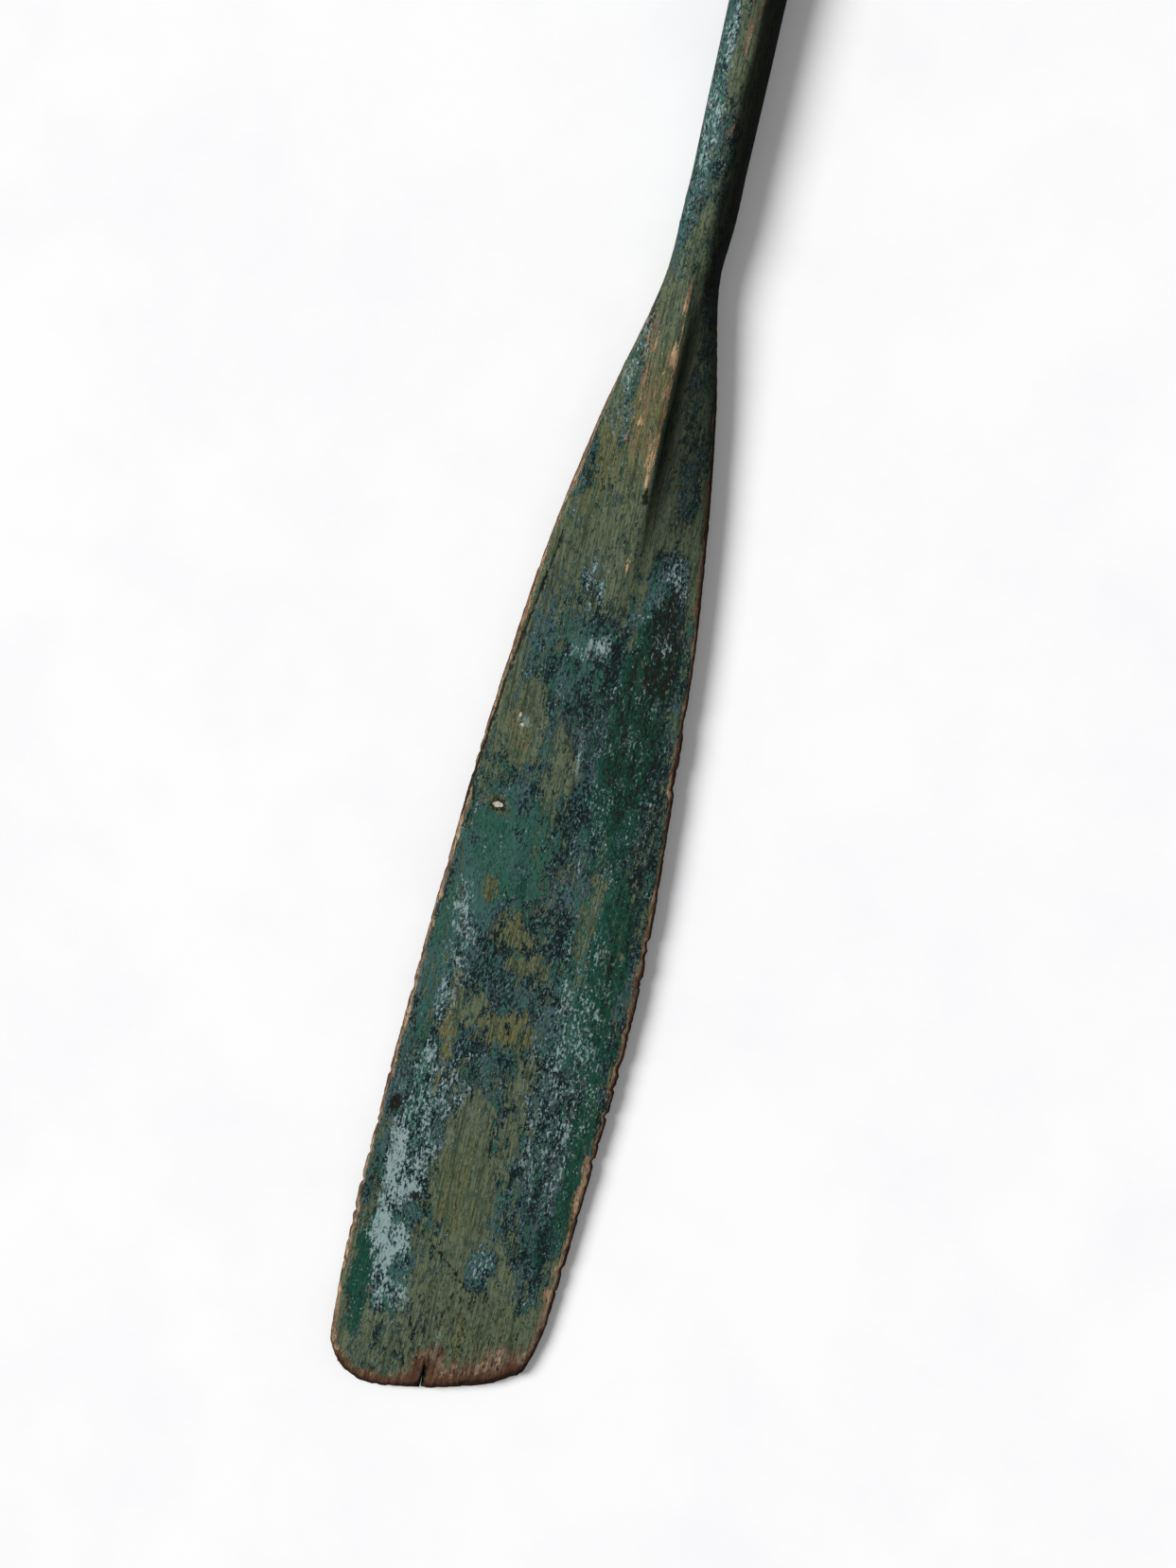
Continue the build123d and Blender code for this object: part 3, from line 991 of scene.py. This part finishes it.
EMERALD_PATCHES = [
    (1460, -69, 60, 9, 0.60),
    (880, 20, 90, 14, 0.80),
    (1110, 28, 100, 24, 0.70),
    (1250, 42, 80, 18, 0.60),
    (1370, 46, 80, 12, 0.70),
    (1190, -13, 60, 24, 0.35),
]
# Dark patches: knots, blots and the tip's crack, and painted shade: the broad patches centred on the +Y
# half, which slopes away from the light
DIRT_AND_SHADE_PATCHES = [
    (949, -1, 6, 2.5, 0.85),
    (1356, -72, 6.5, 4.0, 0.75),
    (1411, -48, 3.5, 3.0, 0.80),
    (1158, -50, 5.5, 6.5, 0.66),
    (1521, -18, 9, 1.5, 0.85),
    (1040, 31, 50, 14, 0.58),
    (1090, 26, 90, 22, 0.49),
    (1075, -6, 70, 22, 0.41),
    (1190, 44, 130, 14, 0.42),
    (1370, 36, 90, 20, 0.38),
    (1490, 0, 36, 60, 0.36),
]
# A dark scratch across the face near the tip
SCRATCH = np.array([(1429.0, -41.0), (1448.0, -18.0), (1463.0, -1.0)])
# Widths of bare wood: positions along each edge, or across the end, and the width at each
NEAR_EDGE_WEAR = (
    [800, 890, 940, 1180, 1340, 1370, 1470, 1500, 1534],
    [0, 1.4, 3.0, 2.8, 2.6, 2.2, 2.8, 4.5, 6],
)
FAR_EDGE_WEAR = (
    [800, 870, 930, 1180, 1360, 1372, 1440, 1470, 1534],
    [0, 1.4, 3.2, 4.0, 3.8, 6, 6, 7, 9],
)
END_WEAR = ([-78, -43, -23, -16, 7, 16, 52], [4, 8, 9, 17, 12, 20, 16])


def patches(points, entries):
    """The strength of the strongest patch at each point.

    A patch is full up to 0.55 of its half length and half width, and gone at 1.45 of them.
    """
    strength = np.zeros(len(points))
    for x, y, half_length, half_width, value in entries:
        reach = np.hypot((points[:, 0] - x) / half_length, (points[:, 1] - y) / half_width)
        strength = np.maximum(strength, value * smooth_step((1.45 - reach) / 0.9))
    return strength


LOWER_FACE_SHIFT = 37  # along the oar
LOWER_FACE_SWAP = -0.85  # across it


def face_places(points):
    """Where the skin's vertices look up the patches: the lower face's are shifted and swapped sideways."""
    places = points[:, :2].copy()
    swapped = (points[:, 2] < 0) & (points[:, 0] > BLADE_MEASURED_FROM + 20)
    places[swapped, 0] += LOWER_FACE_SHIFT
    places[swapped, 1] *= LOWER_FACE_SWAP
    return places


def drifted_places(points, places):
    """The same places moved to and fro by about a centimetre, so that patches get ragged outlines."""
    size = (26, 14, 14)
    drift = np.stack([9 * ripple(points, size, seed=34), 4 * ripple(points, size, seed=35)], -1)
    return places + drift * on_blade(points[:, 0])[:, None]


def on_blade(x):
    """0 on the loom and 1 on the blade, as far as the paint goes."""
    return smooth_step((x - 790) / 60)


def bare_share(points, places, inset, end_distance):
    """How bare the wood is: worn edges and end, rubbed patches, and the hand grip."""
    x, y = points[:, 0], points[:, 1]
    edge_wear = np.where(y < 0, np.interp(x, *NEAR_EDGE_WEAR), np.interp(x, *FAR_EDGE_WEAR))
    broken = 0.35 * ripple(points, (14, 5, 5), seed=33, detail=4)
    worn_edge = 1.05 + broken - 0.62 * inset / np.maximum(edge_wear, 0.1)
    bare = np.where(edge_wear > 0, worn_edge, 0).clip(0)
    bare = np.maximum(bare, 1.2 - 0.7 * end_distance / np.interp(y, *END_WEAR))
    bare = np.maximum(bare, patches(places, BARE_PATCHES))
    grip = smooth_step((-455 - x) / 30)
    handled = 0.45 * smooth_step((-300 - x) / 120) + 0.35 * np.exp(-(((x + 40) / 260) ** 2))
    return np.maximum(bare, np.maximum(1.4 * grip, handled))


def cover_share(points, drifted):
    """How much of the top coats is left: most on the blade's face, patches of it on the loom."""
    x = points[:, 0]
    blade = on_blade(x)
    towards_face = smooth_step((x - 985) / 60) * smooth_step((1480 - x) / 85)
    loom_patches = 0.45 + 0.5 * ripple(points, (70, 14, 14), seed=31)
    cover = np.maximum(patches(drifted, COVER_PATCHES), 0.20 + 0.46 * towards_face)
    cover = mix(np.maximum(cover, loom_patches * (1 - blade)), cover, blade)
    return cover - 0.9 * patches(drifted, OLIVE_PATCHES)


def dirt_and_shade_share(points, places):
    """Knots, dark blots and painted shade on the +Y half of the face, and on the upper face the scratch and
    the groove, darkened by painted shadow and dirt.
    """
    upper = points[:, 2] >= 0
    # the groove's dark line is its painted shadow, with dirt in it
    groove = np.exp(-((distance_to_path(points[:, :2], EDGE_GROOVE) / 1.3) ** 2))
    scratch = np.exp(-((distance_to_path(points[:, :2], SCRATCH) / 1.4) ** 2))
    lines = np.maximum(0.80 * groove, 0.65 * scratch) * upper
    return np.maximum(patches(places, DIRT_AND_SHADE_PATCHES), lines)


def rim_share(points, inset, end_distance):
    """How near a vertex is to the blade's dark rim: along the sides, much weaker on the -Y side, and across
    the end, strongest towards +Y.
    """
    x, y = points[:, 0], points[:, 1]
    sides = np.exp(-inset / 1.3) * on_blade(x) * np.where(y < 0, 0.45, 1.0)
    return sides + mix(0.80, 1.00, smooth_step((y + 8) / 20)) * np.exp(-end_distance / 6)


def rust_share(points, places):
    """What makes bare wood browner, above 0, or more golden, below 0."""
    x, y = points[:, 0], points[:, 1]
    rust = 0.10 * smooth_step((x - 1450) / 50) * smooth_step((y + 48) / 20)
    return rust - mix(-0.10, 0.26, on_blade(x)) * patches(places, BARE_PATCHES)


def shade_share(points):
    """Painted shade on the upper side's +Y flank, from the outer loom to beside the end of the ridge: the
    loom's side away from the light, then the crest's painted shadow.
    """
    x, y = points[:, 0], points[:, 1]
    beside = y + 2.2 * ripple(points, (22, 6, 6), seed=36, detail=4)
    # painted shade on the loom's side away from the light, then the painted shadow of the crest beside the
    # ridge
    loom_shaded_side = smooth_step((beside + 0.5) / 8)
    crest_shadow = smooth_step(y / 3.5) * (1 - 0.24 * smooth_step((y - 5) / 12))
    shade = 0.94 * mix(loom_shaded_side, crest_shadow, smooth_step((x - 800) / 60))
    return shade * smooth_step((x - 480) / 120) * smooth_step((1040 - x) / 130) * (points[:, 2] >= 0)


def paint_attributes(piece, points, inset, end_distance):
    """Gives every vertex of the skin its share of each coat, for the paint material to read."""
    places = face_places(points)
    drifted = drifted_places(points, places)
    upper = points[:, 2] >= 0
    add_attribute(piece, "bare", bare_share(points, places, inset, end_distance))
    add_attribute(piece, "cover", cover_share(points, drifted))
    add_attribute(piece, "teal", np.maximum(patches(drifted, TEAL_PATCHES), 0.40))
    add_attribute(piece, "chalk", patches(drifted, CHALK_PATCHES))
    add_attribute(piece, "ochre", patches(drifted, OCHRE_PATCHES))
    add_attribute(piece, "emerald", patches(drifted, EMERALD_PATCHES))
    # dirt, and painted shade and shadow on the blade
    add_attribute(piece, "dirt", dirt_and_shade_share(points, places))
    add_attribute(piece, "rim", rim_share(points, inset, end_distance))
    add_attribute(piece, "rust", rust_share(points, places))
    # painted shade and shadow on the +Y flank
    add_attribute(piece, "shade", shade_share(points))
    add_attribute(piece, "chip", patches(places, CHIP_PATCHES) * upper)


def end_distances(rows):
    """Distance in plan from every vertex of the blade to its end, and far away outside the tip zone."""
    grid = np.array(rows)
    distances = np.full(grid.shape[:2], 1e3)
    tip = grid[-TIP_RINGS - 1 :]
    distances[-TIP_RINGS - 1 :] = distance_to_path(tip.reshape(-1, 2), grid[-1]).reshape(tip.shape[:2])
    return distances


def skin_relief(points, inset, end_distance):
    """Hand carving and weather: soft undulation, raised grain, and rough worn rims."""
    soft = ripple(points, (60, 16, 16), seed=1, detail=2) * 0.30
    raised_grain = ripple(points, (30, 2.2, 2.2), seed=2, detail=3) * 0.09
    rough = ripple(points, (5, 2.5, 2.5), seed=3, detail=3)
    frayed = 0.32 * np.exp(-inset / 3.0) + 0.28 * np.exp(-end_distance / 9.0)
    beyond_leather = smooth_step((points[:, 0] - 150) / 60)
    return soft * beyond_leather + raised_grain + rough * frayed


def build_wood(material):
    """The whole wooden oar as one closed skin: a tube of rings pinched flat where the blade ends."""
    loom_rows = plan_of_loom()
    blade_rows = plan_of_blade() + plan_of_tip()
    inset = outline_insets(blade_rows)
    plan = np.array(blade_rows).reshape(-1, 2)
    height = upper_height(plan[:, 0], plan[:, 1], inset.ravel()) * crack_pinch(plan)
    height = height.reshape(inset.shape)
    height[-1] = 0
    relief = carved_relief(plan).reshape(inset.shape) * np.clip(inset / 3, 0, 1)

    upper = list(loom_rows)
    lower = [row * (1, 1, -1) for row in loom_rows]
    for ring, row in enumerate(blade_rows):
        upper.append(np.column_stack([row, height[ring] + relief[ring]]))
        lower.append(np.column_stack([row, -height[ring]]))
    tube = np.array([np.concatenate([top, bottom[-2:0:-1]]) for top, bottom in zip(upper, lower)])
    rings, count = tube.shape[:2]

    def around(values):
        """Carries a distance per plan vertex to every vertex of the tube; it is far away on the loom."""
        table = np.concatenate([np.full((len(loom_rows), COLUMNS + 1), 1e3), values])
        return np.concatenate([table, table[:, -2:0:-1]], axis=1).ravel()

    insets = around(inset)
    ends = around(end_distances(blade_rows))
    points = tube.reshape(-1, 3)
    faces = ring_faces(rings, count)
    points = points + vertex_normals(points, faces) * skin_relief(points, insets, ends)[:, None]

    # both faces meet in one line at the blade's end
    last = points.reshape(rings, count, 3)[-1]
    last[1:COLUMNS] = last[:COLUMNS:-1] = (last[1:COLUMNS] + last[:COLUMNS:-1]) / 2

    faces.append(tuple(range(count)))
    piece = make_piece("oar_wood", points, faces, material, "oar_stock")
    paint_attributes(piece, points, insets, ends)
    weld(piece)
    return piece


def weld(piece):
    """Joins vertices that lie in the same place and points all faces outwards."""
    mesh = bmesh.new()
    mesh.from_mesh(piece.data)
    bmesh.ops.remove_doubles(mesh, verts=mesh.verts, dist=0.002 * MM)
    bmesh.ops.recalc_face_normals(mesh, faces=mesh.faces)
    mesh.to_mesh(piece.data)
    mesh.free()


# ---------------------------------------------------------------- leather

SEAM_ANGLE = 90  # angles about the loom run from +Y towards +Z, in degrees
SEAM_GAP = 0.8
BASE_STRAP_GAP_ANGLE = 270
CAP_STRAP_GAP_ANGLE = 210
STRAP_GAP = 0.6
WRAP_COLUMNS = 120  # round a strap
WRAP_ROUNDING = 3.2  # the stretch at each end of a strap whose rings stand closer
BORE_CLEARANCE = 0.05  # between a strap's inside and what it is wrapped round
ROWLOCK_RUN = 62  # half length of the stretch of the sleeve that the rowlock has polished
STRAP_WEAR = 0.25  # how polished the other straps are


def on_loom(x, angle, radius):
    """The point at an angle about the loom, with the angle in radians."""
    return np.stack(np.broadcast_arrays(x, radius * np.cos(angle), radius * np.sin(angle)), axis=-1)


def fastener_places(node):
    """The x and angle of every solid of a node of tacks, nails or stitches."""
    middles = [solid.mean(axis=0) for solid in solids_of(node)]
    return [(middle[0], math.atan2(middle[2], middle[1])) for middle in middles]


def wrap_rings(low, high, spacing):
    """Ring positions along a strap, with extra rings where its ends are rounded."""
    rounding = np.array([0, 0.25, 0.6, 1.2, 2.2])
    count = max(3, round((high - low - 2 * WRAP_ROUNDING) / spacing))
    middle = np.linspace(low + WRAP_ROUNDING, high - WRAP_ROUNDING, count)
    return np.concatenate([low + rounding, middle, high - rounding[::-1]])


def strap_profile(node, xs, outer, gap_angle):
    """The outer radius of a CAD strap at each x, measured away from its gap and from every nail."""
    surface = node_surface(node)
    clear_angle = -math.radians(gap_angle)
    away = np.array([0, math.cos(clear_angle), math.sin(clear_angle)])
    points = [hit(surface, away * 2 * outer + (x, 0, 0), -away) for x in xs]
    return np.array([math.hypot(point.y, point.z) for point in points])


def dents(x, angle, outer, sunk):
    """How far leather of the radius outer is drawn in at each point by the fasteners sunk into it."""
    pull = np.zeros_like(x)
    for place, around, depth, reach in sunk:
        turned = np.abs((angle - around + np.pi) % (2 * np.pi) - np.pi) * outer
        pull = np.maximum(pull, depth * np.exp(-((x - place) ** 2 + turned**2) / reach**2))
    return pull


def shell_faces(rings):
    """Faces of a strap's shell, whose rings run round its outside and back round its inside."""
    count = 2 * WRAP_COLUMNS
    faces = ring_faces(rings, count)
    for ring in (0, (rings - 1) * count):
        for k in range(WRAP_COLUMNS - 1):
            faces.append((ring + k, ring + k + 1, ring + count - k - 2, ring + count - k - 1))
    return faces


def wrapped_leather(name, node, material, gap_angle, gap, spacing, sunk, rough, polished=False):
    """A strap of leather wrapped round the loom, its two ends butted with a gap between them.

    It is a closed C-shaped shell: its outside follows the CAD model's profile, softened at all edges,
    uneven like real hide by the share rough, and drawn in around each of the sunk fasteners. Those are
    given as their x and angle, and the depth and reach of the dent that each one pulls.
    """
    points = node_vertices(node)
    radii = np.hypot(points[:, 1], points[:, 2])
    inner, outer = radii.min(), radii.max()
    low, high = points[:, 0].min(), points[:, 0].max()
    xs = wrap_rings(low, high, spacing)
    to_end = np.minimum(xs - low, high - xs)
    profile = strap_profile(node, np.clip(xs, low + 0.3, high - 0.3), outer, gap_angle)
    profile -= 0.9 * (1 - quarter_round(to_end / 1.2))

    half_gap = gap / 2 / outer
    turn = np.linspace(half_gap, 2 * np.pi - half_gap, WRAP_COLUMNS)
    to_gap = np.minimum(turn, 2 * np.pi - turn) * outer
    x, angle = np.meshgrid(xs, math.radians(gap_angle) + turn, indexing="ij")
    radius = np.repeat(profile[:, None], WRAP_COLUMNS, axis=1)
    radius -= 0.7 * (1 - quarter_round((to_gap - half_gap * outer) / 1.3))

    pull = dents(x, angle, outer, sunk)
    smooth = on_loom(x, angle, radius).reshape(-1, 3)
    uneven = ripple(smooth, (16, 12, 12), seed=41) * 0.22 + ripple(smooth, (2.5, 4, 4), seed=42) * 0.07
    radius = radius - pull + rough * uneven.reshape(x.shape)

    outside = on_loom(x, angle, radius)
    inside = on_loom(x, angle, np.full_like(radius, inner + BORE_CLEARANCE))
    shell = np.concatenate([outside, inside[:, ::-1]], axis=1).reshape(-1, 3)
    piece = make_piece(name, shell, shell_faces(len(xs)), material, node)

    def both_sides(values):
        """Carries a value per outside vertex to the inside as well."""
        return np.concatenate([values, values[:, ::-1]], axis=1).ravel()

    wear = np.exp(-((x / ROWLOCK_RUN) ** 4)) if polished else np.full_like(x, STRAP_WEAR)
    edges = np.exp(-np.minimum(to_end[:, None], to_gap[None, :]) / 1.2)
    add_attribute(piece, "wear", both_sides(wear))
    add_attribute(piece, "dirt", both_sides(np.clip(0.9 * edges + pull, 0, 1)))
    weld(piece)


# ---------------------------------------------------------------- twine and copper

THREAD_RADIUS = 0.55
THREAD_TURNS = 3.5  # turns of its two strands over one stitch
THREAD_RINGS = 22
THREAD_SIDES = 12
STITCH_SINK = 1.3  # how deep the ends of a stitch dive into the leather
STITCH_RISE = 0.35  # how far its middle stands above the CAD model's twine
LATHE_SIDES = 22


def stitch_ends():
    """The x and angle of both ends of every stitch."""
    ends = []
    for solid in solids_of("sleeve_stitching"):
        angle = np.arctan2(solid[:, 2], solid[:, 1])
        first, last = solid[np.argmin(angle)], solid[np.argmax(angle)]
        pair = [(end[0], math.atan2(end[2], end[1])) for end in (first, last)]
        ends.append(pair)
    return ends


def offset_faces(faces, base):
    """The same faces with every vertex number raised by base."""
    return [tuple(base + k for k in face) for face in faces]


def rod_faces(rings, sides):
    """Faces of a closed rod: quads between its rings and a face at each end."""
    first = tuple(range(sides))[::-1]
    last = tuple(range((rings - 1) * sides, rings * sides))
    return [*ring_faces(rings, sides), first, last]


def build_twine(material):
    """Two-strand twine: every stitch rises out of the leather, crosses the seam and dives back in."""
    cad_points = node_vertices("sleeve_stitching")
    surface_radius = np.hypot(cad_points[:, 1], cad_points[:, 2]).max()
    t = np.linspace(0, 1, THREAD_RINGS)[:, None]
    around = np.arange(THREAD_SIDES) * 2 * np.pi / THREAD_SIDES
    lift = surface_radius - STITCH_SINK + (STITCH_SINK + STITCH_RISE) * np.sin(np.pi * t) ** 0.45
    strands = THREAD_RADIUS * (1 + 0.28 * np.cos(2 * (around - THREAD_TURNS * 2 * np.pi * t)))
    vertices, faces, dirt = [], [], []
    for (start_x, start_angle), (end_x, end_angle) in stitch_ends():
        x, angle = mix(start_x, end_x, t), mix(start_angle, end_angle, t)
        centre = on_loom(x, angle, lift)[:, 0]
        forward = np.gradient(centre, axis=0)
        forward /= np.linalg.norm(forward, axis=1, keepdims=True)
        out = on_loom(0.0, angle, 1.0)[:, 0]
        side = np.cross(forward, out)
        side /= np.linalg.norm(side, axis=1, keepdims=True)
        up = np.cross(side, forward)
        ring = side[:, None] * (strands * np.cos(around))[..., None]
        ring = ring + up[:, None] * (strands * np.sin(around))[..., None]
        faces.extend(offset_faces(rod_faces(THREAD_RINGS, THREAD_SIDES), len(vertices)))
        vertices.extend((centre[:, None] + ring).reshape(-1, 3))
        dirt.extend(np.clip(1.3 - strands / THREAD_RADIUS, 0, 1).ravel())
    piece = make_piece("seam_twine", vertices, faces, material, "sleeve_stitching")
    add_attribute(piece, "dirt", dirt)
    weld(piece)


def nail_profile(depths, off_axis, dome):
    """Radii and heights down one nail, from the crown of its head to the point of its shank.

    They are measured from a CAD nail's vertices: their heights and their distances off its axis.
    """
    top, bottom, head = depths.max(), depths.min(), off_axis.max()
    shank = off_axis[depths < (top + bottom) / 2].max()
    thickness = top - depths[off_axis > head - 0.1].min()
    crown = [(head * share, top + dome * (1 - share**2)) for share in (0.08, 0.35, 0.6, 0.8, 0.93)]
    rim = [(head, top - 0.12), (head, top - 0.7 * thickness), (head - 0.3, top - thickness)]
    tapered = [(shank, top - thickness - 0.2), (shank, bottom + 3 * shank), (0.55 * shank, bottom + shank)]
    return [*crown, *rim, *tapered, (0.1, bottom)]


def build_nails(name, node, material, dome):
    """Copper nails or tacks with hammered, slightly domed heads and tapered shanks."""
    vertices, faces, dirt = [], [], []
    turn = np.arange(LATHE_SIDES)[:, None] * 2 * np.pi / LATHE_SIDES
    along = np.array([1.0, 0, 0])
    for solid in solids_of(node):
        middle = solid.mean(axis=0)
        angle = math.atan2(middle[2], middle[1])
        out = np.array([0, math.cos(angle), math.sin(angle)])
        side = np.cross(out, along)
        off_axis = np.hypot(solid[:, 0] - middle[0], solid @ side)
        profile = nail_profile(solid @ out, off_axis, dome)
        faces.extend(offset_faces(rod_faces(len(profile), LATHE_SIDES), len(vertices)))
        for radius, depth in profile:
            rim = radius * (along * np.cos(turn) + side * np.sin(turn))
            vertices.extend(rim + out * depth + (middle[0], 0, 0))
            dirt.extend(np.full(LATHE_SIDES, smooth_step((radius / off_axis.max() - 0.6) / 0.4)))
    vertices = np.array(vertices)
    outwards = vertices * (0, 1, 1) / np.hypot(vertices[:, 1], vertices[:, 2])[:, None]
    hammered = ripple(vertices, (1.6, 1.6, 1.6), seed=51) * 0.10
    piece = make_piece(name, vertices + outwards * hammered[:, None], faces, material, node)
    add_attribute(piece, "dirt", dirt)
    weld(piece)


def build_rowlock_gear():
    """The leather sleeve, the two straps of the button, and what holds them."""
    tacks = [(x, angle, 0.45, 5.0) for x, angle in fastener_places("sleeve_tacks")]
    nails = [(x, angle, 0.9, 6.5) for x, angle in fastener_places("button_nails")]
    holes = [(x, angle, 0.55, 1.5) for pair in stitch_ends() for x, angle in pair]
    tan = leather_material("sleeve_leather", TAN_LEATHER, TAN_LEATHER_STAIN)
    brown = leather_material("button_leather", BROWN_LEATHER, BROWN_LEATHER_STAIN)
    wrapped_leather(
        "sleeve_leather",
        "leather_sleeve",
        tan,
        gap_angle=SEAM_ANGLE,
        gap=SEAM_GAP,
        spacing=2.0,
        sunk=tacks + holes,
        rough=1.0,
        polished=True,
    )
    wrapped_leather(
        "button_base_leather",
        "button_base_strap",
        brown,
        gap_angle=BASE_STRAP_GAP_ANGLE,
        gap=STRAP_GAP,
        spacing=1.6,
        sunk=[],
        rough=0.6,
    )
    wrapped_leather(
        "button_cap_leather",
        "button_cap_strap",
        brown,
        gap_angle=CAP_STRAP_GAP_ANGLE,
        gap=STRAP_GAP,
        spacing=1.2,
        sunk=nails,
        rough=1.2,
    )
    build_twine(twine_material())
    copper = copper_material()
    build_nails("copper_tacks", "sleeve_tacks", copper, 0.35)
    build_nails("copper_nails", "button_nails", copper, 0.5)


wood = build_wood(painted_wood_material())
build_rowlock_gear()


# ---------------------------------------------------------------- floor, light and camera

# In metres, from here on
VIEW_CENTRE = (1.133, 0.003)
VIEW_HEIGHT = 0.994  # what the picture's height covers of the oar's plane
VIEW_TURN = 12.58  # degrees between the oar and the picture's vertical
LENS = 70  # its focal length and the sensor's size, in millimetres
SENSOR = 36

ROOM_LIGHT = 0.26
WINDOW_DIRECTION = (0, -1, 1)
WINDOW_WIDTH = 31  # degrees, seen from the oar
WINDOW_STRENGTH = 3.55

FLOOR_HALF = 400.0  # so far that its edge is lost in the horizon
BUTTON_REST = (-0.138, -0.0347)  # x and z of the point of the button that the oar lies on
CLEAR_OF_BUTTON = 0.3  # the other point that touches the floor is farther outboard than this


def camera_only(s, seen, cast):
    """A shader mix: what the camera sees, and what lights the rest of the scene."""
    path = s.tree.nodes.new("ShaderNodeLightPath")
    blend = s.tree.nodes.new("ShaderNodeMixShader")
    s.tree.links.new(path.outputs["Is Camera Ray"], blend.inputs[0])
    s.tree.links.new(cast, blend.inputs[1])
    s.tree.links.new(seen, blend.inputs[2])
    return blend.outputs[0]


def floor_material():
    """A pale studio floor that looks nearly white, yet throws little light back up at the oar."""
    s = Shader("pale_floor")
    blotches = s.noise(90, detail=5, seed=1)
    color = s.blend(s.step(blotches, 0.35, 0.75), FLOOR_WHITE, FLOOR_GREY)
    glow = {"Emission_Color": (1, 0.98, 0.97), "Emission_Strength": 0.08}
    s.finish(color, 0.75, s.times(blotches, 0.2), relief=0.1, **glow)
    dim = s.tree.nodes.new("ShaderNodeBsdfDiffuse")
    s.feed(dim.inputs["Color"], FLOOR_CAST)
    bright = s.surface.outputs[0]
    output = s.tree.nodes["Material Output"]
    s.tree.links.new(camera_only(s, bright, dim.outputs[0]), output.inputs["Surface"])
    return s.material


def world_points(piece):
    """A piece's vertices in metres, in the world."""
    points = np.zeros(len(piece.data.vertices) * 3)
    piece.data.vertices.foreach_get("co", points)
    matrix = np.array(piece.matrix_world)
    return points.reshape(-1, 3) @ matrix[:3, :3].T + matrix[:3, 3]


def build_floor(wood):
    """A large plane under the oar, which rests on its button and on the next point that touches."""
    rest_x, rest_z = BUTTON_REST
    points = world_points(wood)
    outboard = points[points[:, 0] > rest_x + CLEAR_OF_BUTTON]
    slope = min((outboard[:, 2] - rest_z) / (outboard[:, 0] - rest_x))
    mesh = bpy.data.meshes.new("floor")
    low, high = -FLOOR_HALF, FLOOR_HALF
    corners = [(low, low), (high, low), (high, high), (low, high)]
    mesh.from_pydata([(x, y, rest_z + slope * (x - rest_x)) for x, y in corners], [], [(0, 1, 2, 3)])
    mesh.materials.append(floor_material())
    floor = bpy.data.objects.new("floor", mesh)
    bpy.context.scene.collection.objects.link(floor)


def build_light():
    """A large, distant window on the -Y side, and an even pale room that looks brighter than it lights."""
    world = bpy.data.worlds.new("studio")
    world.use_nodes = True
    tree = world.node_tree
    room = tree.nodes["Background"]
    room.inputs["Color"].default_value = (0.97, 0.98, 1.0, 1)
    path = tree.nodes.new("ShaderNodeLightPath")
    strength = tree.nodes.new("ShaderNodeMix")
    strength.inputs[2].default_value = ROOM_LIGHT
    strength.inputs[3].default_value = 1.0
    tree.links.new(path.outputs["Is Camera Ray"], strength.inputs[0])
    tree.links.new(strength.outputs[0], room.inputs["Strength"])
    bpy.context.scene.world = world
    lamp = bpy.data.lights.new("window", "SUN")
    lamp.angle = math.radians(WINDOW_WIDTH)
    lamp.energy = WINDOW_STRENGTH
    window = bpy.data.objects.new("window", lamp)
    window.rotation_euler = Vector(WINDOW_DIRECTION).to_track_quat("Z", "Y").to_euler()
    bpy.context.scene.collection.objects.link(window)
    bpy.context.scene.view_settings.view_transform = "Standard"


def build_camera():
    """A camera straight above the blade, turned so that the oar leans across the picture."""
    camera = bpy.data.cameras.new("camera")
    camera.lens = LENS
    camera.sensor_width = SENSOR
    eye = bpy.data.objects.new("camera", camera)
    distance = VIEW_HEIGHT * LENS / SENSOR
    eye.location = (*VIEW_CENTRE, distance)
    eye.rotation_euler = (0, 0, math.radians(90 + VIEW_TURN))
    bpy.context.scene.collection.objects.link(eye)
    bpy.context.scene.camera = eye


build_floor(wood)
build_light()
build_camera()
